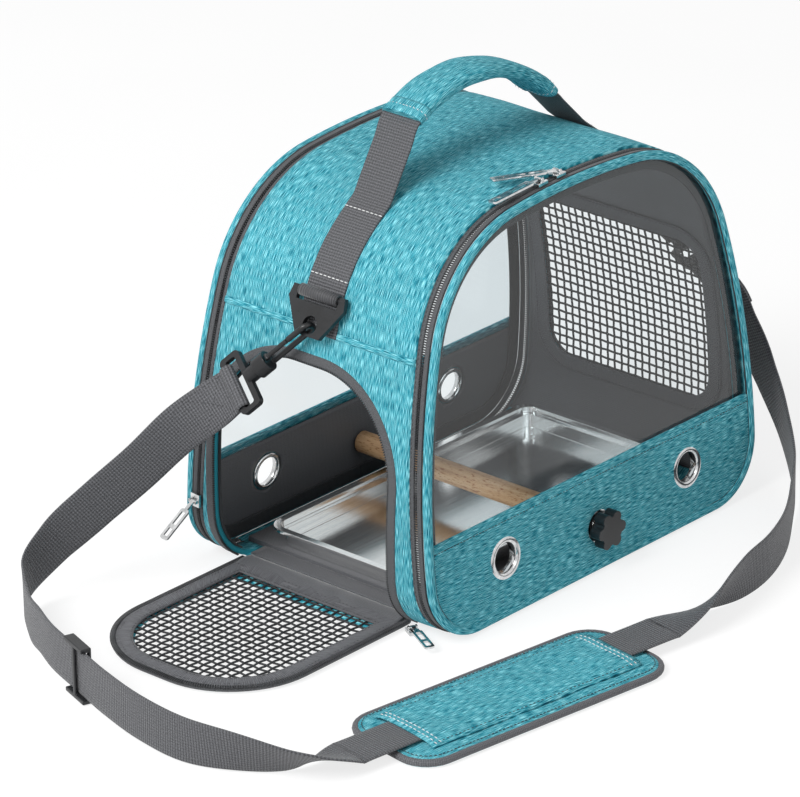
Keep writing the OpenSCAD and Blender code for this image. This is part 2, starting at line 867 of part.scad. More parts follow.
function spline(p0, p1, p2, p3, t) = 0.5 * (
  2 * p1 + (p2 - p0) * t + (2 * p0 - 5 * p1 + 4 * p2 - p3) * t * t
  + (3 * p1 - p0 - 3 * p2 + p3) * t * t * t);
strap_steps = 2;
strap_line = [
  for (i = [0:len(strap_route) - 2])
    for (k = [0:strap_steps - (i == len(strap_route) - 2 ? 0 : 1)])
      spline(route_at(i - 1), route_at(i), route_at(i + 1), route_at(i + 2), k / strap_steps)
];
function xyz(p) = [p[0], p[1], p[2]];
function unit(v) = v / norm(v);
function way(i) =
  unit(xyz(strap_line[min(i + 1, len(strap_line) - 1)]) - xyz(strap_line[max(i - 1, 0)]));
function strap_ring(i) =
  let (t = way(i), side = unit(cross(t, [0, 0, 1])), up = cross(side, t))
  let (a = strap_line[i][3], w = cos(a) * side + sin(a) * up, n = cross(t, w))
  [for (c = [[-0.5, -0.3], [-0.4, -0.5], [0.4, -0.5], [0.5, -0.3],
             [0.5, 0.3], [0.4, 0.5], [-0.4, 0.5], [-0.5, 0.3]])
    xyz(strap_line[i]) + c[0] * web_w * w + c[1] * web_t * n];
strap_length = [for (i = 0, s = 0; i < len(strap_line); i = i + 1,
  s = s + (i < len(strap_line) ? norm(xyz(strap_line[i]) - xyz(strap_line[i - 1])) : 0)) s];
module shoulder_strap() color("dimgray") {
  rings = len(strap_line);
  sides = 8;
  echo("strap length", strap_length[rings - 1]);
  polyhedron(
    points = [for (i = [0:rings - 1]) each strap_ring(i)],
    faces = concat(
      [[for (j = [0:sides - 1]) j]],
      [for (i = [0:rings - 2]) for (j = [0:sides - 1]) each [
        [i * sides + j, (i + 1) * sides + j, i * sides + (j + 1) % sides],
        [i * sides + (j + 1) % sides, (i + 1) * sides + j, (i + 1) * sides + (j + 1) % sides]
      ]],
      [[for (j = [sides - 1:-1:0]) (rings - 1) * sides + j]]
    )
  );
}

// --- What is on the strap ---
// The sliding adjuster stands on edge on the straight stretch behind the pad
adjuster_i = 10;
adjuster_at = xyz(route_at(adjuster_i));
adjuster_way = route_at(adjuster_i + 1) - route_at(adjuster_i - 1);
adjuster_yaw = atan2(adjuster_way[1], adjuster_way[0]);
adjuster_l = 30;
module strap_adjuster() color("black") {
  bar = 4;
  side_h = 3.6;
  half_t = web_t / 2 + 3.4;
  gap = web_t / 2 + 1;
  translate(adjuster_at) rotate([0, 0, adjuster_yaw]) {
    for (s = [-1, 1]) {
      translate([0, 0, s * (adjuster_h - side_h) / 2])
        cube([adjuster_l, 2 * half_t, side_h], center = true);
    }
    for (x = [-adjuster_l / 2, adjuster_l / 2 - bar]) {
      translate([x, gap, -adjuster_h / 2]) cube([bar, half_t - gap, adjuster_h]);
    }
    translate([-bar / 2, -half_t, -adjuster_h / 2]) cube([bar, half_t - gap, adjuster_h]);
  }
}
sleeve_l = 205;
sleeve_w = 66;
module pad_place(z) {
  translate([pad_at[0], pad_at[1], z]) rotate([0, 0, pad_yaw]) children();
}
module shoulder_pad() color("lightseagreen") {
  pad_place(pad_z) linear_extrude(pad_t) rounded(pad_l, pad_w, 26);
}
module pad_sleeve() color("lightseagreen") {
  tunnel_w = web_w + 3;
  tunnel_h = web_t + 2 * strap_gap;
  sleeve_t = 1.6;
  pad_place(pad_z + pad_t) difference() {
    translate([0, 0, (tunnel_h + sleeve_t) / 2])
      cube([sleeve_l, sleeve_w, tunnel_h + sleeve_t], center = true);
    translate([0, 0, tunnel_h / 2 - 1])
      cube([sleeve_l + 2, tunnel_w, tunnel_h + 2], center = true);
  }
}

top_panel();
left_side_panel();
right_side_panel();
base_panel();
floor_board();
inner_lining();
door_opening_trim();
door_sill();
right_mesh();
right_mesh_border();
front_zip_tape();
front_zip_coil();
back_zip_tape();
back_zip_coil();
panel_hinge_strips();
handle_webbing();
handle_grip();
front_piping();
front_band();
front_window();
front_binding();
front_panel_tape();
front_panel_coil();
front_eyelets();
perch();
perch_knob();
perch_bolt();
back_piping();
back_band();
back_window();
back_binding();
back_panel_tape();
back_panel_coil();
back_eyelets();
door_rim();
door_outer_border();
door_net();
door_inner_border();
door_hinge_flap();
tray();
left_ring();
left_hook();
left_gate();
left_swivel();
right_ring();
right_hook();
right_gate();
right_swivel();
front_slider_a();
front_pull_a();
front_slider_b();
front_pull_b();
back_slider();
back_pull();
door_slider();
door_pull();
shoulder_strap();
strap_adjuster();
shoulder_pad();
pad_sleeve();
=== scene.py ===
# %% [markdown]
# A soft travel carrier for a bird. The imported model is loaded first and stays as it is: it says
# where each piece is and how it moves. Everything below gives those pieces their look.

# %% Load the frame
import bmesh
import bpy
import math
from mathutils import Matrix, Vector


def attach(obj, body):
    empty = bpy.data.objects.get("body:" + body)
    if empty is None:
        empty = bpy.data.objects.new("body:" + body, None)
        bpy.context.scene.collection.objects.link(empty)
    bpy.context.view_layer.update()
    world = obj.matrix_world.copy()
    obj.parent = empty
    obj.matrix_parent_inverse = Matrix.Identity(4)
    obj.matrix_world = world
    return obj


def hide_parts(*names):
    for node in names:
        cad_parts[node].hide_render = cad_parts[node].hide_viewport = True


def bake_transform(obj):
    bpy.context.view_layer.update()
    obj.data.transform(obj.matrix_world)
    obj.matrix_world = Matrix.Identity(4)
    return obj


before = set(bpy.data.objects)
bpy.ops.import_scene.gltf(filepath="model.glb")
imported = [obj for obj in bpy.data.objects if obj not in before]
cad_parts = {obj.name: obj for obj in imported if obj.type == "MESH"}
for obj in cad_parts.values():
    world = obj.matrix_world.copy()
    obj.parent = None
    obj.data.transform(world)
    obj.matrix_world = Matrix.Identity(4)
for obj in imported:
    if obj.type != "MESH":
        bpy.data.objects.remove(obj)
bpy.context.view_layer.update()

# %% [markdown]
# The photograph was taken from far off, from the front left and a little above. A long lens at
# that distance keeps the same flat perspective.

# %% Camera
MM = 0.001
IMAGE_WIDTH_PX = 800
FOCAL_PX = 5791.55
SENSOR_MM = 36.0
CAMERA_PLACE = (-3.1120, -2.7560, 1.9494)

scene = bpy.context.scene


def new_piece(name, data):
    piece = bpy.data.objects.new(name, data)
    scene.collection.objects.link(piece)
    return piece


camera_right = Vector((0.668176, -0.743843, -0.015418))
camera_down = Vector((-0.310429, -0.259897, -0.914378))
camera_forward = Vector((0.676147, 0.615752, -0.404568))
camera_data = bpy.data.cameras.new("camera")
camera_data.sensor_fit = "HORIZONTAL"
camera_data.sensor_width = SENSOR_MM
camera_data.lens = FOCAL_PX / IMAGE_WIDTH_PX * SENSOR_MM
camera_data.clip_end = 30.0
camera = new_piece("camera", camera_data)
turn = Matrix((camera_right, -camera_down, -camera_forward)).transposed()
camera.matrix_world = Matrix.Translation(CAMERA_PLACE) @ turn.to_4x4()
scene.camera = camera
scene.view_settings.view_transform = "Standard"
print("lens", round(camera_data.lens, 1), "mm")

# %% [markdown]
# Two short helpers serve every material: one turns a colour as it is written on a screen into
# the linear numbers that a renderer adds up, and one adds a node, its settings and its links.

# %% Colours and nodes
def linear(colour):
    parts = [int(colour[i:i + 2], 16) / 255 for i in (1, 3, 5)]
    lit = [c / 12.92 if c <= 0.04045 else ((c + 0.055) / 1.055) ** 2.4 for c in parts]
    return (*lit, 1.0)


def add(tree, kind, inputs=None, **settings):
    node = tree.nodes.new(kind)
    for name, value in settings.items():
        setattr(node, name, value)
    for name, value in (inputs or {}).items():
        if isinstance(value, bpy.types.NodeSocket):
            tree.links.new(value, node.inputs[name])
        else:
            node.inputs[name].default_value = value
    return node


def new_material(name):
    made = bpy.data.materials.new(name)
    made.use_nodes = True
    made.node_tree.nodes.clear()
    return made, made.node_tree


def ramp(tree, factor, stops):
    node = add(tree, "ShaderNodeValToRGB", {"Fac": factor})
    elements = node.color_ramp.elements
    while len(elements) < len(stops):
        elements.new(0.5)
    for element, (place, colour) in zip(elements, stops):
        element.position = place
        element.color = linear(colour)
    return node.outputs["Color"]


def finish_with(tree, inputs, height=None, depth_mm=0.1):
    if height is not None:
        bump = add(tree, "ShaderNodeBump", {"Height": height, "Distance": depth_mm * MM})
        inputs = dict(inputs, Normal=bump.outputs["Normal"])
    shader = add(tree, "ShaderNodeBsdfPrincipled", inputs)
    add(tree, "ShaderNodeOutputMaterial", {"Surface": shader.outputs["BSDF"]})


print("helpers ready")

# %% [markdown]
# The outside is a heather polyester: threads of a few close shades are woven together, so the
# cloth shows short pale and dark streaks along one thread direction. A picture could give that,
# but a noise stretched along the cloth's own length keeps its real size on every panel.

# %% Heather polyester
# A wave texture's scale for a period in millimetres
def wave_scale(period_mm):
    return math.tau / (20 * period_mm * MM)


STREAK_UNIT_MM, THREAD_UNIT_MM = 8.0, 0.36
DRAWN_WEAVE_MM = 1.4


def heather(name, dark, middle, light):
    made, tree = new_material(name)
    cloth = add(tree, "ShaderNodeUVMap", uv_map="UVMap").outputs["UV"]
    # A streak is up to sixteen millimetres long and one thread pair, 0.7 mm, wide. The noise makes
    # a light and a dark patch every two units
    stretched = add(tree, "ShaderNodeMapping", {
        "Vector": cloth, "Scale": (1 / (STREAK_UNIT_MM * MM), 1 / (THREAD_UNIT_MM * MM), 1)})
    streaks = add(tree, "ShaderNodeTexNoise", {
        "Vector": stretched.outputs["Vector"], "Scale": 1.0, "Detail": 0.0})
    tones = ramp(tree, streaks.outputs["Fac"], [(0.32, dark), (0.5, middle), (0.68, light)])
    blotches = add(tree, "ShaderNodeTexNoise", {"Vector": cloth, "Scale": 22.0, "Detail": 2.0})
    shade = add(tree, "ShaderNodeMapRange", {
        "Value": blotches.outputs["Fac"], "From Min": 0.3, "From Max": 0.7,
        "To Min": 0.94, "To Max": 1.06})
    colour = add(tree, "ShaderNodeVectorMath", {0: tones, 1: shade.outputs["Result"]},
                 operation="MULTIPLY")
    # Plain weave at 0.7 mm, drawn at 1.4 mm so that it shows at this distance
    warp = add(tree, "ShaderNodeTexWave", {"Vector": cloth, "Scale": wave_scale(DRAWN_WEAVE_MM)})
    weft = add(tree, "ShaderNodeTexWave", {"Vector": cloth, "Scale": wave_scale(DRAWN_WEAVE_MM)},
               bands_direction="Y")
    weave = add(tree, "ShaderNodeMath", {0: warp.outputs["Fac"], 1: weft.outputs["Fac"]},
                operation="MULTIPLY")
    relief = add(tree, "ShaderNodeMath", {
        0: streaks.outputs["Fac"], 1: 1.2, 2: weave.outputs["Value"]}, operation="MULTIPLY_ADD")
    finish_with(tree, {
        "Base Color": colour.outputs["Vector"], "Roughness": 0.85, "IOR": 1.35,
        "Sheen Weight": 0.05, "Sheen Roughness": 0.5, "Sheen Tint": linear("#9fd6de")},
        relief.outputs["Value"], 0.12)
    return made


TEAL = heather("heather_polyester_teal", "#0c6679", "#2f9aac", "#93dfe9")
print("made", TEAL.name)

# %% [markdown]
# Webbing, zip tape, binding and the satin lining are all plain woven polyester or nylon. What
# tells them apart is the size of the rib, how much they shine and how dark they are.

# %% Woven trims
def woven(name, dark, light, rib_mm, across_mm, roughness, sheen, depth_mm=0.2, speckle_mm=1.0,
          source="UV", weave_shade_depth=0.0):
    made, tree = new_material(name)
    if source == "UV":
        cloth = add(tree, "ShaderNodeUVMap", uv_map="UVMap").outputs["UV"]
    else:
        cloth = add(tree, "ShaderNodeTexCoord").outputs["Object"]
    speckle = add(tree, "ShaderNodeTexNoise", {
        "Vector": cloth, "Scale": 1 / (speckle_mm * MM), "Detail": 2.0, "Roughness": 0.7})
    tones = ramp(tree, speckle.outputs["Fac"], [(0.36, dark), (0.64, light)])
    ribs = add(tree, "ShaderNodeTexWave", {
        "Vector": cloth, "Scale": wave_scale(rib_mm), "Distortion": 0.6, "Detail": 1.0})
    rows = add(tree, "ShaderNodeTexWave", {"Vector": cloth, "Scale": wave_scale(across_mm)},
               bands_direction="Y")
    relief = add(tree, "ShaderNodeMath", {
        0: rows.outputs["Fac"], 1: 0.5, 2: ribs.outputs["Fac"]}, operation="MULTIPLY_ADD")
    # Painted shade: where two thick threads dip, the weave is painted darker, and the raised
    # threads a little lighter
    weave_painted_shade = add(tree, "ShaderNodeMapRange", {
        "Value": relief.outputs["Value"], "From Min": 0.2, "From Max": 1.1,
        "To Min": 1.0 - weave_shade_depth, "To Max": 1.0 + 0.6 * weave_shade_depth})
    tones = add(tree, "ShaderNodeVectorMath", {0: tones, 1: weave_painted_shade.outputs["Result"]},
                operation="MULTIPLY").outputs["Vector"]
    finish_with(tree, {
        "Base Color": tones, "Roughness": roughness, "IOR": 1.5, "Sheen Weight": sheen,
        "Sheen Roughness": 0.4}, relief.outputs["Value"], depth_mm)
    return made


# Webbing: a coarse basket weave, 2.4 mm from thread to thread both ways, with painted shade in its
# dips
WEBBING = woven("ribbed_nylon_webbing", "#3c3d40", "#626367", 2.4, 2.4, 0.62, 0.2, 0.4, weave_shade_depth=0.5)
TAPE = woven("woven_zip_tape", "#434447", "#5d5f62", 1.2, 1.2, 0.75, 0.15)
BINDING = woven("black_bias_binding", "#1b1c1e", "#303236", 1.4, 1.4, 0.7, 0.15)
# The grey binding has the same painted shade in the dips of its weave
GREY_BINDING = woven("grey_bias_binding", "#4b4c50", "#6b6c70", 1.6, 1.6, 0.7, 0.15, weave_shade_depth=0.35)
LINING = woven("polyester_satin_lining", "#515255", "#65666a", 1.6, 1.6, 0.45, 0.35, 0.1)
THREAD = woven("polyester_thread", "#c9cbcc", "#f0f1f1", 0.8, 0.8, 0.6, 0.1, 0.05,
               source="Object")
DARK_THREAD = woven("dark_polyester_thread", "#202224", "#3a3c3f", 0.8, 0.8, 0.6, 0.1, 0.05,
                    source="Object")
BOARD_CLOTH = woven("board_cover_cloth", "#55575a", "#6b6c70", 1.6, 1.6, 0.6, 0.25,
                    source="Object")
print("made", len(bpy.data.materials), "materials")

# %% [markdown]
# The net, the zip coil and the hooks are moulded or drawn plastic: nearly black, with a soft
# shine and a surface that is not quite even.

# %% Moulded plastics
def moulded(name, dark, light, roughness, grain_mm=1.5, depth_mm=0.03, coat=0.0):
    made, tree = new_material(name)
    place = add(tree, "ShaderNodeTexCoord").outputs["Object"]
    grain = add(tree, "ShaderNodeTexNoise", {
        "Vector": place, "Scale": 1 / (grain_mm * MM), "Detail": 3.0, "Roughness": 0.6})
    rubbed = add(tree, "ShaderNodeTexNoise", {"Vector": place, "Scale": 60.0, "Detail": 2.0})
    tones = ramp(tree, rubbed.outputs["Fac"], [(0.35, dark), (0.7, light)])
    worn = add(tree, "ShaderNodeMapRange", {
        "Value": grain.outputs["Fac"], "From Min": 0.3, "From Max": 0.7,
        "To Min": roughness - 0.06, "To Max": roughness + 0.08})
    finish_with(tree, {
        "Base Color": tones, "Roughness": worn.outputs["Result"], "IOR": 1.48,
        "Coat Weight": coat, "Coat Roughness": 0.2}, grain.outputs["Fac"], depth_mm)
    return made


ACETAL = moulded("moulded_acetal_black", "#121315", "#1e2023", 0.33)
NET = moulded("knitted_nylon_net", "#17181a", "#2b2d30", 0.5)
COIL = moulded("nylon_zip_coil", "#1b1c1f", "#36383b", 0.38)
print("plastics ready")

# %% [markdown]
# The eyelets, sliders and pulls are nickel plated and bright. The tray is pressed stainless
# steel with a fine brushed grain along its length.

# %% Metals
def metal(name, dark, light, roughness, grain_scale, depth_mm):
    made, tree = new_material(name)
    place = add(tree, "ShaderNodeTexCoord").outputs["Object"]
    along = add(tree, "ShaderNodeMapping", {"Vector": place, "Scale": grain_scale})
    grain = add(tree, "ShaderNodeTexNoise", {
        "Vector": along.outputs["Vector"], "Scale": 1.0, "Detail": 3.0, "Roughness": 0.6})
    tones = ramp(tree, grain.outputs["Fac"], [(0.3, dark), (0.7, light)])
    worn = add(tree, "ShaderNodeMapRange", {
        "Value": grain.outputs["Fac"], "From Min": 0.3, "From Max": 0.7,
        "To Min": roughness * 0.8, "To Max": roughness * 1.3})
    finish_with(tree, {
        "Base Color": tones, "Metallic": 1.0, "Roughness": worn.outputs["Result"]},
        grain.outputs["Fac"], depth_mm)
    return made


NICKEL = metal("nickel_plated_zinc", "#b9babb", "#e3e4e4", 0.16, (180, 180, 180), 0.01)
STEEL = metal("brushed_stainless_steel", "#e2e3e3", "#f4f4f3", 0.15, (14, 900, 900), 0.004)
print("metals ready")

# %% [markdown]
# The perch is turned beech, oiled but not varnished. Its grain runs along Y, with the short
# darker flecks that beech has. The window is clear soft PVC sheet: it lets the light straight
# through and only adds reflections, stronger at a flat angle.

# %% Beech and clear sheet
BEECH, tree = new_material("oiled_beech")
place = add(tree, "ShaderNodeTexCoord").outputs["Object"]
grain_along = add(tree, "ShaderNodeMapping", {"Vector": place, "Scale": (260, 9, 260)})
grain = add(tree, "ShaderNodeTexNoise", {
    "Vector": grain_along.outputs["Vector"], "Scale": 1.0, "Detail": 4.0, "Roughness": 0.6})
fleck_along = add(tree, "ShaderNodeMapping", {"Vector": place, "Scale": (900, 220, 900)})
flecks = add(tree, "ShaderNodeTexNoise", {
    "Vector": fleck_along.outputs["Vector"], "Scale": 1.0, "Detail": 1.0})
wood = ramp(tree, grain.outputs["Fac"], [(0.3, "#b08560"), (0.5, "#cfa67c"), (0.72, "#dfbd96")])
marks = ramp(tree, flecks.outputs["Fac"], [(0.3, "#c9a584"), (0.42, "#ffffff")])
wood = add(tree, "ShaderNodeVectorMath", {0: wood, 1: marks}, operation="MULTIPLY")
finish_with(tree, {"Base Color": wood.outputs["Vector"], "Roughness": 0.55, "IOR": 1.5},
            grain.outputs["Fac"], 0.08)

CLEAR, tree = new_material("clear_pvc_sheet")
place = add(tree, "ShaderNodeTexCoord").outputs["Object"]
ripple = add(tree, "ShaderNodeTexNoise", {"Vector": place, "Scale": 14.0, "Detail": 2.0})
ripple = add(tree, "ShaderNodeBump", {
    "Height": ripple.outputs["Fac"], "Distance": 2 * MM, "Strength": 0.3})
see_through = add(tree, "ShaderNodeBsdfTransparent", {"Color": linear("#f4f7f8")})
shine = add(tree, "ShaderNodeBsdfAnisotropic", {
    "Color": linear("#ffffff"), "Roughness": 0.12, "Normal": ripple.outputs["Normal"]})
edge_on = add(tree, "ShaderNodeFresnel", {"IOR": 1.5, "Normal": ripple.outputs["Normal"]})
# Light that leaves the sheet from inside is not reflected, so only front faces shine
facing = add(tree, "ShaderNodeNewGeometry")
front_only = add(tree, "ShaderNodeMath", {0: 1.0, 1: facing.outputs["Backfacing"]},
                 operation="SUBTRACT")
shine_share = add(tree, "ShaderNodeMath", {
    0: edge_on.outputs["Fac"], 1: front_only.outputs["Value"]}, operation="MULTIPLY")
sheet_mix = add(tree, "ShaderNodeMixShader", {
    0: shine_share.outputs["Value"], 1: see_through.outputs["BSDF"], 2: shine.outputs["BSDF"]})
add(tree, "ShaderNodeOutputMaterial", {"Surface": sheet_mix.outputs["Shader"]})
print("beech and clear sheet ready")

# %% [markdown]
# A pale floor under soft light. The floor glows a little where it is seen, by the camera or in a
# mirror or the clear sheet, so that it stays white in the picture without throwing more light on
# the object, and keeps its soft shadow. The backdrop is white in the same way.

# %% Floor and light
FLOOR_GLOW = 0.7
HALF_FLOOR = 8.0
FLOOR_Z = -0.0004
# What the lamps point at: the middle of the carrier
AIM = Vector((0, 0, 0.15))


# One for rays from the camera, a mirror or the clear sheet, and zero for light on its way
def seen(tree):
    ray = add(tree, "ShaderNodeLightPath")
    share = ray.outputs["Is Camera Ray"]
    for kind in ("Is Glossy Ray", "Is Transmission Ray"):
        share = add(tree, "ShaderNodeMath", {0: share, 1: ray.outputs[kind]},
                    operation="MAXIMUM").outputs["Value"]
    return share


floor_mesh = bpy.data.meshes.new("floor")
floor_mesh.from_pydata([(x * HALF_FLOOR, y * HALF_FLOOR, FLOOR_Z)
                        for x, y in ((-1, -1), (1, -1), (1, 1), (-1, 1))], [], [(0, 1, 2, 3)])
FLOOR, tree = new_material("pale_paper_floor")
place = add(tree, "ShaderNodeTexCoord").outputs["Object"]
paper = add(tree, "ShaderNodeTexNoise", {"Vector": place, "Scale": 3.0})
paper = ramp(tree, paper.outputs["Fac"], [(0.3, "#f6f6f6"), (0.7, "#fbfbfb")])
matt = add(tree, "ShaderNodeBsdfDiffuse", {"Color": paper})
glow = add(tree, "ShaderNodeEmission", {"Color": (1, 1, 1, 1), "Strength": 1.1})
glowing = add(tree, "ShaderNodeMath", {0: seen(tree), 1: FLOOR_GLOW}, operation="MULTIPLY")
floor_mix = add(tree, "ShaderNodeMixShader", {
    0: glowing.outputs["Value"], 1: matt.outputs["BSDF"], 2: glow.outputs["Emission"]})
add(tree, "ShaderNodeOutputMaterial", {"Surface": floor_mix.outputs["Shader"]})
floor_mesh.materials.append(FLOOR)
floor = new_piece("floor", floor_mesh)

world = bpy.data.worlds.new("studio")
scene.world = world
world.use_nodes = True
tree = world.node_tree
tree.nodes.clear()
soft = add(tree, "ShaderNodeBackground", {"Color": (1, 1, 1, 1), "Strength": 0.4})
white = add(tree, "ShaderNodeBackground", {"Color": (1, 1, 1, 1), "Strength": 1.0})
mixed = add(tree, "ShaderNodeMixShader", {
    0: seen(tree), 1: soft.outputs["Background"], 2: white.outputs["Background"]})
add(tree, "ShaderNodeOutputWorld", {"Surface": mixed.outputs["Shader"]})


def softbox(name, place, size, watts):
    lamp = bpy.data.lights.new(name, "AREA")
    lamp.shape = "DISK"
    lamp.size = size
    lamp.energy = watts
    holder = new_piece(name, lamp)
    aim = (AIM - Vector(place)).to_track_quat("-Z", "Y")
    holder.matrix_world = Matrix.Translation(place) @ aim.to_matrix().to_4x4()


softbox("lamp_above_left", (-2.6, 0.2, 2.4), 1.8, 96)
softbox("lamp_front", (-0.8, -3.2, 2.0), 2.4, 16)
print("floor and lights ready")

# %% [markdown]
# Most pieces are a flat section drawn along a path: straps, tapes, piping, bindings and wires.
# One function builds that mesh, with a UV map in metres, so a woven pattern keeps its true size.

# %% Sweeping a section along a path
UP = Vector((0, 0, 1))


# Says which body a piece moves with, and which imported nodes it stands for
def wear(piece, body, slot_name, *nodes):
    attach(piece, body)
    if nodes:
        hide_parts(*nodes)
    return piece


def link_piece(name, points, faces, uvs, finish):
    mesh = bpy.data.meshes.new(name)
    mesh.from_pydata([Vector(p) * MM for p in points], [], faces)
    if uvs:
        layer = mesh.uv_layers.new(name="UVMap")
        flat = [c * MM for face in uvs for uv in face for c in uv]
        layer.data.foreach_set("uv", flat)
    mesh.materials.append(finish)
    mesh.shade_smooth()
    piece = new_piece(name, mesh)
    outward(piece)
    return piece


# Turns every face outwards, after merging points that lie together if asked to
def outward(piece, merge_mm=None):
    work = bmesh.new()
    work.from_mesh(piece.data)
    if merge_mm:
        bmesh.ops.remove_doubles(work, verts=work.verts, dist=merge_mm * MM)
    bmesh.ops.recalc_face_normals(work, faces=work.faces)
    work.to_mesh(piece.data)
    work.free()


def running(points, closed=False):
    total = [0.0]
    for i in range(1, len(points) + (1 if closed else 0)):
        total.append(total[-1] + (points[i % len(points)] - points[i - 1]).length)
    return total


# A frame is an origin and two directions; the section's points are measured along them
def sweep(name, frames, section, finish, closed=False):
    ring = len(section)
    points = [o + side * a + up * b for o, side, up in frames for a, b in section]
    along = running([f[0] for f in frames], closed)
    around = running([Vector((a, b, 0)) for a, b in section], True)
    faces, uvs = [], []
    for i in range(len(frames) if closed else len(frames) - 1):
        k = (i + 1) % len(frames)
        for j in range(ring):
            m = (j + 1) % ring
            faces.append((i * ring + j, i * ring + m, k * ring + m, k * ring + j))
            uvs.append([(along[i], around[j]), (along[i], around[j + 1]),
                        (along[i + 1], around[j + 1]), (along[i + 1], around[j])])
    if not closed:
        for start in (0, (len(frames) - 1) * ring):
            faces.append(tuple(range(start, start + ring)))
            uvs.append([(a, b) for a, b in section])
    return link_piece(name, points, faces, uvs, finish)


def oval(w, h, n=12):
    return [(w / 2 * math.cos(math.tau * i / n), h / 2 * math.sin(math.tau * i / n))
            for i in range(n)]


# A flat strip with round edges, w wide and h thick, with a few points over its width
def strip(w, h, across=4, edge=4):
    half, r = w / 2 - h / 2, h / 2
    top = [(-half + 2 * half * i / across, r) for i in range(across + 1)]
    end = [(half + r * math.sin(math.pi * i / edge), r * math.cos(math.pi * i / edge))
           for i in range(1, edge)]
    return top + end + [(-a, -b) for a, b in top] + [(-a, -b) for a, b in end]


# Frames on a surface: the section's first direction lies in the surface, across the path
def surface_frames(points, normals, closed=False):
    frames = []
    last = len(points) - 1
    for i, (p, n) in enumerate(zip(points, normals)):
        before = points[i - 1] if closed or i else points[0]
        after = points[(i + 1) % len(points)] if closed or i < last else points[last]
        way = (after - before).normalized()
        frames.append((p, n.cross(way).normalized(), n))
    return frames


print("sweep ready")

# %% [markdown]
# Stitches and zip teeth repeat along a line. Geometry Nodes place them: the line is resampled at
# the real spacing, and a small piece is set on each point, turned along the line and away from
# the cloth. A loop in Python could copy them too, but then the spacing would be hard to change.

# %% Geometry Nodes: a piece repeated along a line
def new_tree(name, output, **inputs):
    tree = bpy.data.node_groups.new(name, "GeometryNodeTree")
    for socket, kind in inputs.items():
        tree.interface.new_socket(socket, in_out="INPUT", socket_type="NodeSocket" + kind)
    tree.interface.new_socket(output, in_out="OUTPUT", socket_type="NodeSocketGeometry")
    return tree, add(tree, "NodeGroupInput").outputs


# Every tree ends the same way: real geometry in the finish it was given
def end_tree(tree, output, geometry, finish):
    real = add(tree, "GeometryNodeRealizeInstances", {"Geometry": geometry})
    dressed = add(tree, "GeometryNodeSetMaterial", {
        "Geometry": real.outputs["Geometry"], "Material": finish})
    add(tree, "NodeGroupOutput", {output: dressed.outputs["Geometry"]})


row_tree, given = new_tree("row_along_line", "Row", Line="Geometry", Piece="Object",
                           Spacing="Float", Unevenness="Float", Seed="Int", Finish="Material")
line = add(row_tree, "GeometryNodeMeshToCurve", {"Mesh": given["Line"]})
line = add(row_tree, "GeometryNodeResampleCurve", {
    "Curve": line.outputs["Curve"], "Length": given["Spacing"]}, mode="LENGTH")
way = add(row_tree, "GeometryNodeInputTangent")
away = add(row_tree, "GeometryNodeInputNamedAttribute", {"Name": "up"},
           data_type="FLOAT_VECTOR")
facing = add(row_tree, "FunctionNodeAxesToRotation", {
    "Primary Axis": away.outputs["Attribute"], "Secondary Axis": way.outputs["Tangent"]},
    primary_axis="Z", secondary_axis="X")
chance = add(row_tree, "FunctionNodeRandomValue", {"Seed": given["Seed"]})
swing = add(row_tree, "ShaderNodeMath", {0: chance.outputs["Value"], 1: 0.5},
            operation="SUBTRACT")
swing = add(row_tree, "ShaderNodeMath", {0: swing.outputs["Value"], 1: given["Unevenness"]},
            operation="MULTIPLY")
uneven = add(row_tree, "FunctionNodeAxisAngleToRotation", {
    "Axis": (0, 0, 1), "Angle": swing.outputs["Value"]})
facing = add(row_tree, "FunctionNodeRotateRotation", {
    "Rotation": facing.outputs["Rotation"], "Rotate By": uneven.outputs["Rotation"]},
    rotation_space="LOCAL")
pattern = add(row_tree, "GeometryNodeObjectInfo", {"Object": given["Piece"]})
placed = add(row_tree, "GeometryNodeInstanceOnPoints", {
    "Points": line.outputs["Curve"], "Instance": pattern.outputs["Geometry"],
    "Rotation": facing.outputs["Rotation"]})
end_tree(row_tree, "Row", placed.outputs["Instances"], given["Finish"])


# Keeps the plain mesh that comes out of a piece's modifiers
def bake(piece):
    bpy.context.view_layer.update()
    ready = piece.evaluated_get(bpy.context.evaluated_depsgraph_get())
    mesh = bpy.data.meshes.new_from_object(ready)
    piece.modifiers.clear()
    mesh.name = piece.name
    piece.data = mesh


def bake_tree(piece, tree, inputs):
    modifier = piece.modifiers.new("tree", "NODES")
    modifier.node_group = tree
    sockets = {s.name: s.identifier for s in tree.interface.items_tree if s.in_out == "INPUT"}
    for name, value in inputs.items():
        modifier[sockets[name]] = value
    bake(piece)


# A piece of edges only, for a tree to work on; the points are in millimetres
def wire_piece(name, lines):
    points, edges = [], []
    for line in lines:
        edges += [(len(points) + i, len(points) + i + 1) for i in range(len(line) - 1)]
        points += [Vector(p) * MM for p in line]
    mesh = bpy.data.meshes.new(name)
    mesh.from_pydata(points, edges, [])
    return new_piece(name, mesh)


# Lines are lists of (point, direction away from the cloth)
def row(name, lines, pattern, spacing_mm, finish, unevenness=0.0, seed=1):
    piece = wire_piece(name, [[p for p, _ in line] for line in lines])
    ups = [c for line in lines for _, up in line for c in up]
    piece.data.attributes.new("up", "FLOAT_VECTOR", "POINT").data.foreach_set("vector", ups)
    bake_tree(piece, row_tree, {
        "Piece": pattern, "Spacing": spacing_mm * MM, "Unevenness": unevenness, "Seed": seed,
        "Finish": finish})
    return piece


print("row tree ready with", len(row_tree.nodes), "nodes")

# %% [markdown]
# A stitch is a short length of thread whose ends dive into the cloth. A zip tooth is the top of
# one turn of the coil: a rounded bar across the tape.

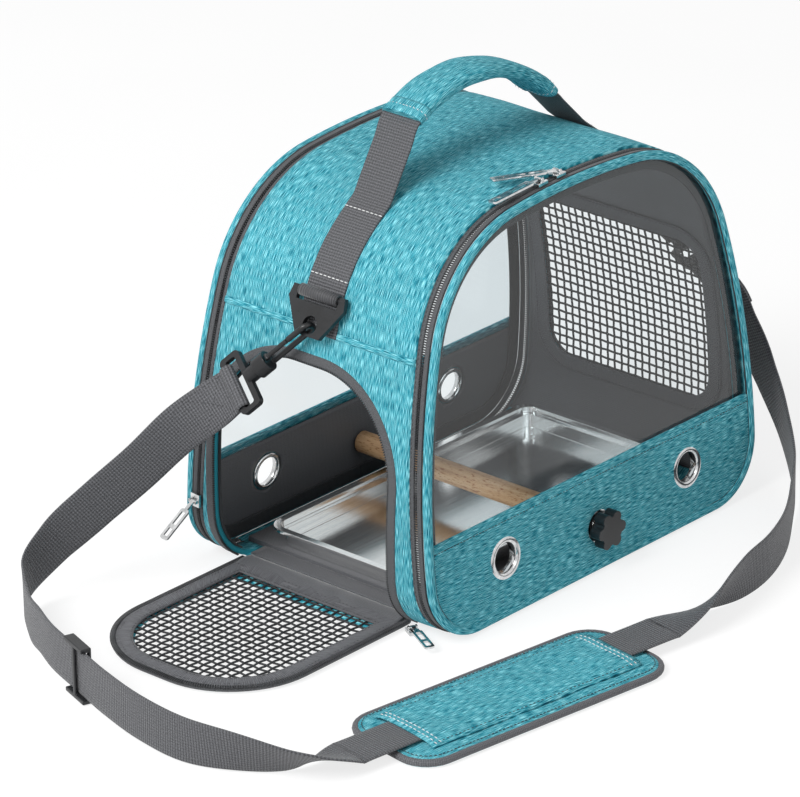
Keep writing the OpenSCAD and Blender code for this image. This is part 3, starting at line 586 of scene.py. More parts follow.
# %% Stitch and tooth patterns
def pattern_piece(name, length, width, height, sink):
    frames = []
    for i in range(5):
        t = i / 4
        lift = math.sin(math.pi * t) ** 0.6
        grow = 0.55 + 0.45 * math.sin(math.pi * t)
        frames.append((Vector(((t - 0.5) * length, 0, -sink + lift * sink)),
                       Vector((0, grow, 0)), Vector((0, 0, grow))))
    piece = sweep(name, frames, oval(width, height, 6), THREAD)
    piece.hide_render = True
    return piece


STITCH = pattern_piece("stitch_pattern", 3.4, 0.9, 0.8, 0.35)
FINE_STITCH = pattern_piece("fine_stitch_pattern", 2.6, 0.7, 0.6, 0.3)


def tooth_pattern(name, width):
    frames = [(Vector((0, (t - 0.5) * width, 0.9 - 0.7 * (2 * t - 1) ** 4)),
               Vector((1, 0, 0)), UP) for t in (0, 0.2, 0.5, 0.8, 1)]
    piece = sweep(name, frames, oval(1.15, 1.5, 6), COIL)
    piece.hide_render = True
    return piece


TOOTH = tooth_pattern("tooth_pattern", 2.0)
WIDE_TOOTH = tooth_pattern("wide_tooth_pattern", 4.4)
TOOTH_STEP = 1.9
SEAM_STEP = 3.6


# A seam of fine stitches along one line
def sew(name, line, body, slot_name, step_mm=SEAM_STEP, thread=DARK_THREAD):
    return wear(row(name, [line], FINE_STITCH, step_mm, thread), body, slot_name)


print("patterns ready")

# %% [markdown]
# The shoulder strap comes first, with everything on it, because it is the one free cord. It is
# a fixed length of webbing: it leaves the back of the left hook's loop, stands on edge on the
# floor, turns over to lie flat in the pad, and rises again to the right hook.

# %% Shoulder strap route
WEB_W = 38.0
WEB_T = 2.0
PAD_AT = Vector((-215, -223, 0))
PAD_TURN = math.radians(-8)
PAD_RUN_Z = 9.8
EDGE_Z = 19.6
STAND_Z = 23.5


def on_pad(d):
    return (PAD_AT.x + d * math.cos(PAD_TURN), PAD_AT.y + d * math.sin(PAD_TURN), PAD_RUN_Z, 0)


# Centre of the webbing in millimetres, and the tilt of its width, where 90 stands on edge
STRAP_ROUTE = [
    (-214.3, 56.6, 172.4, 52), (-222, 70, 159, 66), (-238, 92, 137, 84), (-260, 113, 108, 90),
    (-285, 137, 78, 90), (-312, 156, 50, 90), (-344, 156, 29, 90), (-372, 124, EDGE_Z + 1, 90),
    (-390, 94, STAND_Z, 90),
    (-404, 66, STAND_Z, 90), (-418, 26, STAND_Z, 90), (-432, -14, STAND_Z, 90),
    (-442, -60, EDGE_Z + 2, 90), (-444, -106, EDGE_Z, 88), (-434, -148, EDGE_Z, 74),
    (-414, -182, EDGE_Z - 4, 50), (-392, -197, EDGE_Z - 7, 24),
    on_pad(-156), on_pad(-140), on_pad(0), on_pad(140), on_pad(156),
    (-30, -249, EDGE_Z - 6, 26), (2, -250, EDGE_Z - 1, 62), (36, -247, EDGE_Z, 86),
    (74, -239, EDGE_Z, 90), (116, -221, EDGE_Z, 90), (158, -194, EDGE_Z + 2, 90),
    (196, -166, EDGE_Z + 9, 90), (222, -134, 52, 92), (232, -106, 86, 98),
    (230, -83, 126, 110), (223, -69, 154, 122), (214.6, -57, 171.4, 128),
]


def spline(knots, steps):
    spots = []
    for i in range(len(knots) - 1):
        p = [Vector(knots[min(max(k, 0), len(knots) - 1)]) for k in (i - 1, i, i + 1, i + 2)]
        for j in range(steps + (1 if i == len(knots) - 2 else 0)):
            t = j / steps
            spots.append(0.5 * (2 * p[1] + (p[2] - p[0]) * t
                                + (2 * p[0] - 5 * p[1] + 4 * p[2] - p[3]) * t * t
                                + (3 * p[1] - p[0] - 3 * p[2] + p[3]) * t ** 3))
    return spots


def strap_frames(spots):
    frames = []
    for i, spot in enumerate(spots):
        way = (spots[min(i + 1, len(spots) - 1)] - spots[max(i - 1, 0)]).xyz.normalized()
        level = way.cross(UP).normalized()
        up = level.cross(way)
        tilt = math.radians(spot.w)
        width = level * math.cos(tilt) + up * math.sin(tilt)
        frames.append((spot.xyz, width, width.cross(way).normalized()))
    return frames


STRAP_STEPS = 7
ACROSS_WEB = 8
strap_spots = spline(STRAP_ROUTE, STRAP_STEPS)
strap_line = strap_frames(strap_spots)
strap = sweep("shoulder_strap_webbing", strap_line, strip(WEB_W, WEB_T, ACROSS_WEB), WEBBING)
strap_path = [f[0] * MM for f in strap_line]
wear(strap, "carrier", "dark_webbing", "shoulder_strap")

# %% [markdown]
# Each end of the strap is folded round the hook's loop and sewn back on itself with dark
# thread in a box. The second layer lies on the strap for its first forty-six millimetres.

# %% Sewn strap ends
SEWN_L = 46.0
LAYER_GAP = 0.1
# The sewn box, as shares of the layer's length, and its distance from the edges
BOX_FROM, BOX_TO = 0.18, 0.9
BOX_EDGE = 3.5
END_SECTIONS = 30


def strap_end(name, frames):
    layer = []
    run = running([f[0] for f in frames])
    for (o, side, up), d in zip(frames, run):
        if d < SEWN_L:
            layer.append((o - up * (WEB_T + LAYER_GAP), side, up))
    piece = sweep(name, layer, strip(WEB_W - 0.6, WEB_T, ACROSS_WEB), WEBBING)
    lines = []
    for lift, sign in ((WEB_T / 2, 1), (-1.5 * WEB_T - 2 * LAYER_GAP, -1)):
        def spot(t, c):
            k = t * (len(layer) - 1)
            i = min(int(k), len(layer) - 2)
            mix = [layer[i][n].lerp(layer[i + 1][n], k - i) for n in range(3)]
            base = mix[0] + mix[2] * (WEB_T + LAYER_GAP)
            return base + mix[1] * c + mix[2] * lift, mix[2] * sign
        half = WEB_W / 2 - BOX_EDGE
        corners = [(BOX_FROM, -half), (BOX_FROM, half), (BOX_TO, half), (BOX_TO, -half),
                   (BOX_FROM, -half)]
        cross = [corners[0], corners[2]], [corners[1], corners[3]]
        for ends in (corners, *cross):
            path = []
            for (t0, c0), (t1, c1) in zip(ends, ends[1:]):
                path += [spot(t0 + (t1 - t0) * k / 8, c0 + (c1 - c0) * k / 8) for k in range(9)]
            lines.append([path[i] for i in range(len(path)) if i % 9 or i == 0])
    sewing = row(name + "_stitches", lines, FINE_STITCH, 4.0, DARK_THREAD, 0.1)
    return [wear(part, "carrier", "dark_webbing") for part in (piece, sewing)]


# The hook hangs from its ring, leaning with the wall and turned aside; p is measured from the
# ring's hole: outwards, along the ring's bar, and up the hook
RING_BAR = Vector((173.038, 0, 253.752))
RING_LEAN = math.radians(27)
HOOK_TURN = math.radians(40)
RING_DROP = 24.0
LOOP_BAR = 83.8
FOLD_R, FOLD_STEPS, FOLD_TURN = 4.9, 28, 320


def on_hook(sign, p):
    turn_x = Matrix.Rotation(-sign * HOOK_TURN, 3, "X")
    lean = Matrix.Rotation(-RING_LEAN, 3, "Y")
    spot = RING_BAR + lean @ (Vector((0, 0, -RING_DROP)) + turn_x @ Vector(p))
    return Vector((sign * spot.x, spot.y, spot.z))


# The fold of webbing round the loop's lower bar
def strap_fold(label, sign):
    middle = on_hook(sign, (0, 0, -LOOP_BAR))
    outwards = on_hook(sign, (1, 0, -LOOP_BAR)) - middle
    upwards = on_hook(sign, (0, 0, 1 - LOOP_BAR)) - middle
    width = on_hook(sign, (0, 1, -LOOP_BAR)) - middle
    frames = []
    for i in range(FOLD_STEPS + 1):
        a = math.radians(-FOLD_TURN / 2 + FOLD_TURN * i / FOLD_STEPS)
        around = outwards * math.cos(a) * 0.86 + upwards * math.sin(a)
        frames.append((middle + around * FOLD_R, width, around))
    piece = sweep(f"{label}_strap_fold", frames, strip(WEB_W - 0.4, WEB_T, ACROSS_WEB), WEBBING)
    return wear(piece, f"{label}_swivel", "dark_webbing")


strap_extras = strap_end("left_strap_end", strap_line[:END_SECTIONS])
strap_extras += [strap_fold("left", -1), strap_fold("right", 1)]
strap_extras += strap_end("right_strap_end", strap_line[:-END_SECTIONS - 1:-1])
print("strap ends sewn")

# %% [markdown]
# The shoulder pad is a flat foam cushion with a bound edge. It is drawn as rounded outlines that
# shrink towards a line along its middle and rise as they do, so it is crowned and closed.

# %% Shoulder pad cushion
PAD_L, PAD_W, PAD_T, PAD_R, PAD_Z = 250.0, 96.0, 7.6, 26.0, 0.3


def rounded_outline(w, h, r, corner=7, side=10):
    points = []
    for cx, cy, start in ((w / 2 - r, h / 2 - r, 0), (-w / 2 + r, h / 2 - r, 90),
                          (-w / 2 + r, -h / 2 + r, 180), (w / 2 - r, -h / 2 + r, 270)):
        for i in range(corner + 1):
            a = math.radians(start + 90 * i / corner)
            points.append(Vector((cx + r * math.cos(a), cy + r * math.sin(a), 0)))
    full = []
    for i, p in enumerate(points):
        q = points[(i + 1) % len(points)]
        steps = side if (q - p).length > r * 0.5 else 1
        full += [p.lerp(q, k / steps) for k in range(steps)]
    return full


def to_pad(p):
    c, s = math.cos(PAD_TURN), math.sin(PAD_TURN)
    return Vector((PAD_AT.x + p.x * c - p.y * s, PAD_AT.y + p.x * s + p.y * c, p.z))


pad_outline = rounded_outline(PAD_L - 2, PAD_W - 2, PAD_R - 1)
reach = (PAD_L - PAD_W) / 2
rings, faces, uvs = [], [], []
# How far each outline has shrunk towards the middle line, and its share of the pad's height
levels = [(0.0, 0.0), (0.0, 0.42), (0.03, 0.68), (0.10, 0.84), (0.25, 0.94), (0.5, 0.99),
          (1.0, 1.0)]
for inward, height in levels:
    for p in pad_outline:
        middle = Vector((min(max(p.x, -reach), reach), 0, 0))
        q = p.lerp(middle, inward)
        dimple = 0.35 * math.sin(q.x / 11 + 0.7 * math.sin(q.y / 9)) * math.sin(q.y / 13 + 1)
        q.z = PAD_Z + PAD_T * height + (dimple - 0.4 if height > 0.8 else 0)
        rings.append(q)
n = len(pad_outline)
for level in range(len(levels) - 1):
    for i in range(n):
        k = (i + 1) % n
        quad = (level * n + i, level * n + k, (level + 1) * n + k, (level + 1) * n + i)
        faces.append(quad)
        uvs.append([(rings[v].x, rings[v].y) for v in quad])
faces.append(tuple(range(n)))
uvs.append([(rings[v].x, rings[v].y) for v in range(n)])
pad = link_piece("shoulder_pad_cushion", [to_pad(p) for p in rings], faces, uvs, TEAL)
outward(pad, merge_mm=0.01)
wear(pad, "shoulder_pad", "teal_fabric", "shoulder_pad")


# The pad's outline, drawn in by some millimetres, at a height
def pad_loop(inset, z):
    outline = rounded_outline(PAD_L - 2 * inset, PAD_W - 2 * inset, PAD_R - inset)
    return [to_pad(Vector((p.x, p.y, z))) for p in outline]


edge_path = pad_loop(1.5, PAD_Z + 3.2)
pad_edge = sweep("shoulder_pad_binding", surface_frames(edge_path, [UP] * len(edge_path), True),
                 oval(5.5, 5.8, 12), GREY_BINDING, closed=True)
wear(pad_edge, "shoulder_pad", "grey_tape")
seam_path = pad_loop(6, PAD_Z + PAD_T * 0.88)
pad_seam = sew("shoulder_pad_edge_stitches", [(p, UP) for p in seam_path + seam_path[:1]],
               "shoulder_pad", "grey_tape")
print("pad", len(pad.data.polygons), "faces")

# %% [markdown]
# A second layer of cloth makes a sleeve on the pad, and the strap runs in the tunnel under it.
# It is a thin arched shell that is open at both ends, with a pale double row of stitches there.

# %% Pad sleeve
SLEEVE_L, SLEEVE_W = 205.0, 66.0
SLEEVE_ROWS, SLEEVE_COLUMNS = 48, 24


# A closed sheet of rows by columns points; at(i, j) gives its outer and inner point and its UV
def shell(name, rows, columns, at, finish):
    grid = [at(i, j) for i in range(rows) for j in range(columns)]
    points = [outer for outer, _, _ in grid] + [inner for _, inner, _ in grid]
    flat_uv = [uv for _, _, uv in grid] * 2
    half = rows * columns
    faces = []
    for i in range(rows - 1):
        for j in range(columns - 1):
            a, b = i * columns + j, (i + 1) * columns + j
            faces.append((a, a + 1, b + 1, b))
            faces.append((half + a, half + b, half + b + 1, half + a + 1))
    rim = [(0, j) for j in range(columns)] + [(i, columns - 1) for i in range(1, rows)]
    rim += [(rows - 1, j) for j in range(columns - 2, -1, -1)]
    rim += [(i, 0) for i in range(rows - 2, 0, -1)]
    for (i, j), (k, m) in zip(rim, rim[1:] + rim[:1]):
        a, b = i * columns + j, k * columns + m
        faces.append((a, half + a, half + b, b))
    uvs = [[flat_uv[v] for v in face] for face in faces]
    return link_piece(name, points, faces, uvs, finish)


def sleeve_at(i, j):
    x = (i / SLEEVE_ROWS - 0.5) * SLEEVE_L
    y = (j / SLEEVE_COLUMNS - 0.5) * SLEEVE_W
    v = abs(2 * j / SLEEVE_COLUMNS - 1)
    bulge = max(0.0, 1 - v ** 5) ** 0.7
    crease = 0.5 * math.sin(x / 9 + 1.5 * math.sin(y / 14)) * (1 - v ** 8) * math.cos(y / 21)
    low = PAD_Z + PAD_T - 0.2
    return (to_pad(Vector((x, y, low + 1.0 + 3.4 * bulge + crease))),
            to_pad(Vector((x, y, low - 0.1 + 3.2 * bulge + 0.6 * crease))), (x, y))


sleeve = shell("shoulder_pad_sleeve", SLEEVE_ROWS + 1, SLEEVE_COLUMNS + 1, sleeve_at, TEAL)
wear(sleeve, "shoulder_pad", "teal_fabric", "pad_sleeve")
lines = [[(sleeve_at(i, j)[0] + UP * 0.2, UP) for j in range(1, SLEEVE_COLUMNS)]
         for i in (1, 2, SLEEVE_ROWS - 2, SLEEVE_ROWS - 1)]
sides = [[(sleeve_at(i, j)[0] + UP * 0.1, UP) for i in range(1, SLEEVE_ROWS)]
         for j in (1, SLEEVE_COLUMNS - 1)]
sleeve_ends = row("pad_sleeve_end_stitches", lines, STITCH, 4.4, THREAD)
sleeve_sides = row("pad_sleeve_side_stitches", sides, FINE_STITCH, 4.0, DARK_THREAD)
for piece in (sleeve_ends, sleeve_sides):
    wear(piece, "shoulder_pad", "teal_fabric")
print("sleeve", len(sleeve.data.polygons), "faces")

# %% [markdown]
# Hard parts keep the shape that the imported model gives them. A copy of the node is cleaned and
# its edges are rounded with a bevel, as moulding or pressing leaves them.

# %% Rounded copies of hard parts
def rounded_copy(node, name, finish, body, bevel_mm, slot_name, segments=3, angle=32):
    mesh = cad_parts[node].data.copy()
    mesh.name = name
    mesh.materials.clear()
    mesh.materials.append(finish)
    piece = new_piece(name, mesh)
    work = bmesh.new()
    work.from_mesh(mesh)
    bmesh.ops.remove_doubles(work, verts=work.verts, dist=0.005 * MM)
    bmesh.ops.dissolve_limit(work, angle_limit=math.radians(1.5), verts=work.verts,
                             edges=work.edges)
    work.to_mesh(mesh)
    work.free()
    bevel = piece.modifiers.new("bevel", "BEVEL")
    bevel.width = bevel_mm * MM
    bevel.segments = segments
    bevel.limit_method = "ANGLE"
    bevel.angle_limit = math.radians(angle)
    bevel.harden_normals = True
    bake(piece)
    piece.data.shade_smooth()
    edges = piece.modifiers.new("weighted normals", "WEIGHTED_NORMAL")
    edges.keep_sharp = True
    return wear(piece, body, slot_name, node)


adjuster = rounded_copy("strap_adjuster", "strap_slide_adjuster", ACETAL, "strap_adjuster", 0.9,
                        "black_plastic")
tuple(strap_path[0])
[tuple(p) for p in strap_path]
for side in ("left", "right"):
    for node, name, bevel_mm in (("ring", "webbing_ring", 0.9), ("hook", "snap_hook", 0.8),
                                 ("gate", "hook_gate", 0.5), ("swivel", "swivel_loop", 1.0)):
        rounded_copy(f"{side}_{node}", f"{side}_{name}", ACETAL, f"{side}_{node}", bevel_mm,
                     "black_plastic")
for node in ("front_slider_a", "front_slider_b", "back_slider", "door_slider"):
    body = "carrier" if node == "door_slider" else node
    rounded_copy(node, node + "_body", NICKEL, body, 0.5, "slider_metal")
for node in ("front_pull_a", "front_pull_b", "back_pull", "door_pull"):
    rounded_copy(node, node + "_plate", NICKEL, node, 0.35, "slider_metal")
rounded_copy("tray", "pressed_tray", STEEL, "tray", 0.4, "tray_steel", 2)
rounded_copy("perch", "perch_dowel", BEECH, "front_window_panel", 1.6, "beech")
rounded_copy("perch_knob", "perch_knob_grip", ACETAL, "perch_screw", 1.4, "black_plastic")
print("hard parts rounded")

# %% [markdown]
# The body's end profile is four arcs on each side. A point on the wall is found by its distance
# along the skin, from the right foot over the crown to the left foot, so the cloth's streaks
# and the stitches keep their true spacing round the bends.

# %% The wall's profile
BASE_D = 264.0
CORNER_R, SIDE_R, SHOULDER_R, CROWN_R = 52.0, 635.0, 116.0, 675.0
FLOOR_X = 143.0
CORNER_END, SIDE_END, SHOULDER_END = -1.3782, 15.6205, 83.8383
ARCS = [((FLOOR_X, CORNER_R), CORNER_R, -90.0, CORNER_END),
        ((-439.831, 66.0222), SIDE_R, CORNER_END, SIDE_END),
        ((60.0, 205.771), SHOULDER_R, SIDE_END, SHOULDER_END),
        ((0.0, -350.0), CROWN_R, SHOULDER_END, 90.0)]
HALF = sum(math.radians(a1 - a0) * r for _, r, a0, a1 in ARCS)
LEAN = math.radians(4)
STRIP = 19.0
FACE_LIFT = STRIP * math.sin(LEAN)


# The point and outward direction at s millimetres along the skin, inset by t
def wall(s, t=0.0):
    if s < 0 or s > 2 * HALF:
        over = -s if s < 0 else s - 2 * HALF
        x = (FLOOR_X - over) * (1 if s < 0 else -1)
        return Vector((x, 0, t)), Vector((0, 0, -1))
    left = s > HALF
    rest = 2 * HALF - s if left else s
    for (cx, cz), r, a0, a1 in ARCS:
        length = math.radians(a1 - a0) * r
        if rest <= length + 1e-6:
            break
        rest -= length
    a = math.radians(a0) + rest / r
    out = Vector((math.cos(a), 0, math.sin(a)))
    spot = Vector((cx, 0, cz)) + out * (r - t)
    if left:
        spot.x, out.x = -spot.x, -out.x
    return spot, out


# How far along the skin the wall, inset by t, reaches height z
def s_at(z, t=0.0):
    low, high = 0.0, HALF
    for _ in range(40):
        middle = (low + high) / 2
        low, high = (middle, high) if wall(middle, t)[0].z < z else (low, middle)
    return low


# Half the depth of the leaning plane that lies off inside a face, at height z
def face_y(off, z):
    rise = z - FACE_LIFT + off * math.sin(LEAN)
    return BASE_D / 2 - off * math.cos(LEAN) - math.tan(LEAN) * rise


# A face's own frame: X across, Y inwards, Z up the leaning face; side is -1 in front, 1 behind
def on_face(side, x, y, z):
    c, s = math.cos(LEAN), math.sin(LEAN)
    return Vector((x, -side * (-BASE_D / 2 + y * c + z * s), FACE_LIFT - y * s + z * c))


def face_way(side, x, y, z):
    c, s = math.cos(LEAN), math.sin(LEAN)
    return Vector((x, -side * (y * c + z * s), -y * s + z * c))


SEAM_Z = 228.0
SEAM_S = s_at(SEAM_Z)
print("skin from foot to crown", round(HALF, 1), "mm; seam at", round(SEAM_S, 1))

# %% [markdown]
# The padded walls are cloth over thin foam. Each panel is a closed shell that follows the
# profile and swells a little between its seams. The doorway and the mesh window are cut out with
# a Boolean, which keeps the rest of the grid even.

# %% Padded wall panels
def wall_shell(name, s0, s1, t_out, t_in, off, puff, finish, columns=40, step_mm=5.0, crease=0.0):
    rows = max(8, int((s1 - s0) / step_mm))

    def at(i, j):
        s = s0 + (s1 - s0) * i / rows
        spot, out = wall(s)
        deep = face_y(off, spot.z)
        v, w = 2 * j / columns - 1, 2 * i / rows - 1
        swell = puff * (1 - v ** 8) * (1 - w ** 8)
        fold = crease * math.sin(s / 17 + 2 * math.sin(v * 3)) * math.sin(v * 7 + s / 60)
        fold *= (1 - v ** 10) * (1 - w ** 10)
        across = Vector((0, v * deep, 0))
        return (spot + across + out * (swell + fold - t_out), spot + across - out * t_in,
                (s, v * deep))

    return shell(name, rows + 1, columns + 1, at, finish)


# The cutters' own finish goes with them
def cut(piece, *cutters):
    for cutter in cutters:
        modifier = piece.modifiers.new("cut", "BOOLEAN")
        modifier.operation = "DIFFERENCE"
        modifier.object = cutter
    bake(piece)
    finish = piece.data.materials[0]
    piece.data.materials.clear()
    piece.data.materials.append(finish)
    for cutter in cutters:
        bpy.data.objects.remove(cutter)
    return piece


def prism(name, outline, way):
    n = len(outline)
    points = list(outline) + [p + way for p in outline]
    faces = [(i, (i + 1) % n, n + (i + 1) % n, n + i) for i in range(n)]
    faces += [tuple(range(n)), tuple(range(n, 2 * n))]
    return link_piece(name, points, faces, None, TEAL)


DOOR_W, DOOR_Y, DOOR_FOOT, DOOR_TOP, ARCH_R = 180.31, 6.0, 4.0, 198.0, 76.0


# The arch of the doorway from its foot in front, over the top, to its foot behind, as (a, b)
def arch(inset, foot, side_steps=14, arc_steps=14, top_steps=4):
    half, high, r = DOOR_W / 2 - inset, DOOR_TOP - DOOR_FOOT - inset, ARCH_R - inset
    points = [(-half, foot + (high - r - foot) * i / side_steps) for i in range(side_steps)]
    for i in range(arc_steps + 1):
        a = math.radians(180 - 90 * i / arc_steps)
        points.append((-half + r + r * math.cos(a), high - r + r * math.sin(a)))
    points += [(-half + r + (half - r) * 2 * i / top_steps, high) for i in range(1, top_steps)]
    return points + [(-a, b) for a, b in reversed(points[:side_steps + arc_steps + 1])]


def doorway(inset):
    foot = -12 if inset < 0 else 0
    outline = [Vector((-300, DOOR_Y + a, DOOR_FOOT + b)) for a, b in arch(inset, foot)]
    return prism("doorway_cutter", outline, Vector((182, 0, 0)))


MESH_Y, MESH_Z0, MESH_Z1, MESH_R = 88.1, 62.0, 212.0, 26.0


def mesh_outline(grow):
    middle = Vector((0, 0, (MESH_Z0 + MESH_Z1) / 2))
    flat = rounded_outline(2 * MESH_Y + 2 * grow, MESH_Z1 - MESH_Z0 + 2 * grow, MESH_R + grow,
                           8, 16)
    return [Vector((0, p.x, p.y)) + middle for p in flat]


def mesh_cutter(grow):
    return prism("mesh_window_cutter", [p + Vector((100, 0, 0)) for p in mesh_outline(grow)],
                 Vector((200, 0, 0)))


FULL = 2 * HALF
# How far the foam and the lining reach inwards, and how much a padded wall swells
FOAM_T, LINED_T = 4, 5
SWELL = 0.8
# The top panel reaches past the seam and lies over the side panels, which reach under it
HEM_REACH, TUCK = 3, 2
wear(wall_shell("top_padded_panel", SEAM_S - HEM_REACH, FULL - SEAM_S + HEM_REACH, -0.7, 3.9,
                STRIP, 0.5, TEAL, crease=0.25), "carrier", "teal_fabric", "top_panel")
wear(cut(wall_shell("left_padded_panel", FULL - SEAM_S - TUCK, FULL, 0, FOAM_T, STRIP, SWELL,
                    TEAL), doorway(0)), "carrier", "teal_fabric", "left_side_panel")
wear(cut(wall_shell("right_padded_panel", 0, SEAM_S + TUCK, 0, FOAM_T, STRIP, SWELL, TEAL),
         mesh_cutter(0)), "carrier", "teal_fabric", "right_side_panel")
wear(wall_shell("base_cloth_panel", -2 * FLOOR_X, 0, 0, FOAM_T, STRIP, 0, TEAL, 20, 12),
     "carrier", "teal_fabric", "base_panel")
# Height at which the lining starts
LINING_Z = 9.3
lining_s = s_at(LINING_Z)
wear(cut(wall_shell("satin_lining", lining_s, FULL - lining_s, FOAM_T, LINED_T, STRIP + 1, -0.9,
                    LINING), doorway(-2), mesh_cutter(2)),
     "carrier", "dark_lining", "inner_lining")
print("wall panels made")

# %% [markdown]
# The top panel's edge is folded under and lies over the side panels as a soft roll.

# %% Hem of the top panel
for label, s in (("right", SEAM_S - HEM_REACH), ("left", FULL - SEAM_S + HEM_REACH)):
    spot, out = wall(s)
    deep = face_y(STRIP, spot.z)
    along = Vector((-out.z, 0, out.x))
    frames = []
    for i in range(61):
        v = 2 * i / 60 - 1
        soft = 1 + 0.12 * math.sin(i * 0.9) * math.sin(i * 0.23)
        frames.append((spot + Vector((0, v * deep, 0)) + out * 0.3, along, out * soft))
    wear(sweep(f"{label}_top_panel_hem", frames, oval(6.0, 3.4, 12), TEAL), "carrier",
         "teal_fabric")
print("hems folded")

# %% [markdown]
# A net is a grid of thin knitted strands. Each strand is one line of points that waves over and
# under the others, and Geometry Nodes give all of them their thickness at once.

# %% Geometry Nodes: strands
strand_tree, given = new_tree("strands_with_thickness", "Net", Strands="Geometry",
                              Thickness="Float", Sides="Int", Finish="Material")
strands = add(strand_tree, "GeometryNodeMeshToCurve", {"Mesh": given["Strands"]})
radius = add(strand_tree, "ShaderNodeMath", {0: given["Thickness"], 1: 0.5},
             operation="MULTIPLY")
round_section = add(strand_tree, "GeometryNodeCurvePrimitiveCircle", {
    "Resolution": given["Sides"], "Radius": radius.outputs["Value"]})
thick = add(strand_tree, "GeometryNodeCurveToMesh", {
    "Curve": strands.outputs["Curve"], "Profile Curve": round_section.outputs["Curve"],
    "Fill Caps": True})
end_tree(strand_tree, "Net", thick.outputs["Mesh"], given["Finish"])


def net(name, strand_lines, thickness_mm, sides=5):
    piece = wire_piece(name, strand_lines)
    bake_tree(piece, strand_tree, {"Thickness": thickness_mm * MM, "Sides": sides, "Finish": NET})
    outward(piece)
    piece.data.shade_smooth()
    return piece


# Both sets of strands of a net, over u0..u1 and v0..v1, where inside(u, v) is true
def strands_over(u0, u1, v0, v1, pitch, inside, place, weave_mm=0.35):
    lines = []
    for turned in (False, True):
        a0, a1, b0, b1 = (v0, v1, u0, u1) if turned else (u0, u1, v0, v1)
        for i in range(int((a1 - a0) / pitch) + 1):
            a = a0 + i * pitch
            line = []
            steps = int((b1 - b0) / pitch * 2)
            for k in range(steps + 1):
                b = b0 + (b1 - b0) * k / steps
                u, v = (b, a) if turned else (a, b)
                if inside(u, v):
                    wave = weave_mm * math.cos(math.pi * (b - b0) / pitch + math.pi * (i + turned))
                    line.append(place(u, v, wave))
            if len(line) > 1:
                lines.append(line)
    return lines


NET_PITCH = 7.3
WINDOW_STRAND, DOOR_STRAND = 1.9, 1.8
print("strand tree ready")

# %% [markdown]
# The right side has a mesh window with rounded corners: a net behind, and a bound edge on both
# the outside and the inside, which the clear front shows.

# %% Mesh window
def on_right_wall(y, z, lift):
    spot, out = wall(s_at(z))
    return Vector((spot.x, y, z)) + out * lift, out


def in_mesh_window(y, z):
    grow = 5
    x, h = abs(y), abs(z - (MESH_Z0 + MESH_Z1) / 2)
    half_x, half_h, r = MESH_Y + grow, (MESH_Z1 - MESH_Z0) / 2 + grow, MESH_R + grow
    if x <= half_x - r or h <= half_h - r:
        return x <= half_x and h <= half_h
    return math.hypot(x - half_x + r, h - half_h + r) <= r


mesh_strands = strands_over(-MESH_Y - 4, MESH_Y + 4, MESH_Z0 - 4, MESH_Z1 + 4, NET_PITCH,
                            in_mesh_window, lambda y, z, wave: on_right_wall(y, z, -2 + wave)[0])
wear(net("right_net", mesh_strands, WINDOW_STRAND), "carrier", "black_mesh", "right_mesh")
for name, grow, lift, width, thick, nodes in (
        ("mesh_window_outer_binding", 3.6, 0.5, 10.5, 2.0, ("right_mesh_border",)),
        ("mesh_window_inner_binding", 2.2, -5.8, 13.0, 1.6, ())):
    spots = [on_right_wall(p.y, p.z, lift) for p in mesh_outline(grow)]
    frames = surface_frames([p for p, _ in spots], [out for _, out in spots], True)
    wear(sweep(name, frames, strip(width, thick), GREY_BINDING, closed=True), "carrier",
         "grey_tape", *nodes)
for name, grow, lift in (("mesh_window_outer_stitches", 7.4, 1.5),
                         ("mesh_window_inner_stitches", 7.0, -6.7)):
    spots = [on_right_wall(p.y, p.z, lift) for p in mesh_outline(grow)]
    way = 1 if lift > 0 else -1
    line = [(p, out * way) for p, out in spots + spots[:1]]
    sew(name, line, "carrier", "grey_tape")
print("mesh window made")

# %% [markdown]
# Each window face is a ring of piping, a zip tape, and the zip's teeth. The two halves of the
# zip belong to different bodies: one to the face, which opens, and one to the carrier.

# %% Piping, tapes and teeth of both faces
FACES = {-1: ("front", "front_window_panel"), 1: ("back", "back_window_panel")}
PIPING_D, TAPE_W, COIL_W = 7.0, 4.5, 3.0
ring_s = [-FLOOR_X + (FULL + 2 * FLOOR_X) * i / 320 for i in range(320)]
open_s = [FULL * i / 260 for i in range(261)]
# How far under the wall's skin the tapes and the teeth lie
TAPE_DEEP, TEETH_DEEP = 1.3, 1.2
INNER_COIL_Y = PIPING_D + TAPE_W + COIL_W * 0.25
OUTER_COIL_Y = PIPING_D + TAPE_W + COIL_W * 0.8


# Frames round a face at inset t and depth y: first direction outwards, second inwards in depth
def round_face(side, stations, t, y, turned=False):
    frames = []
    for s in stations:
        spot, out = wall(s, t)
        origin = on_face(side, spot.x, y, spot.z)
        ways = [face_way(side, out.x, 0, out.z), face_way(side, 0, 1, 0)]
        frames.append((origin, *(ways[::-1] if turned else ways)))
    return frames


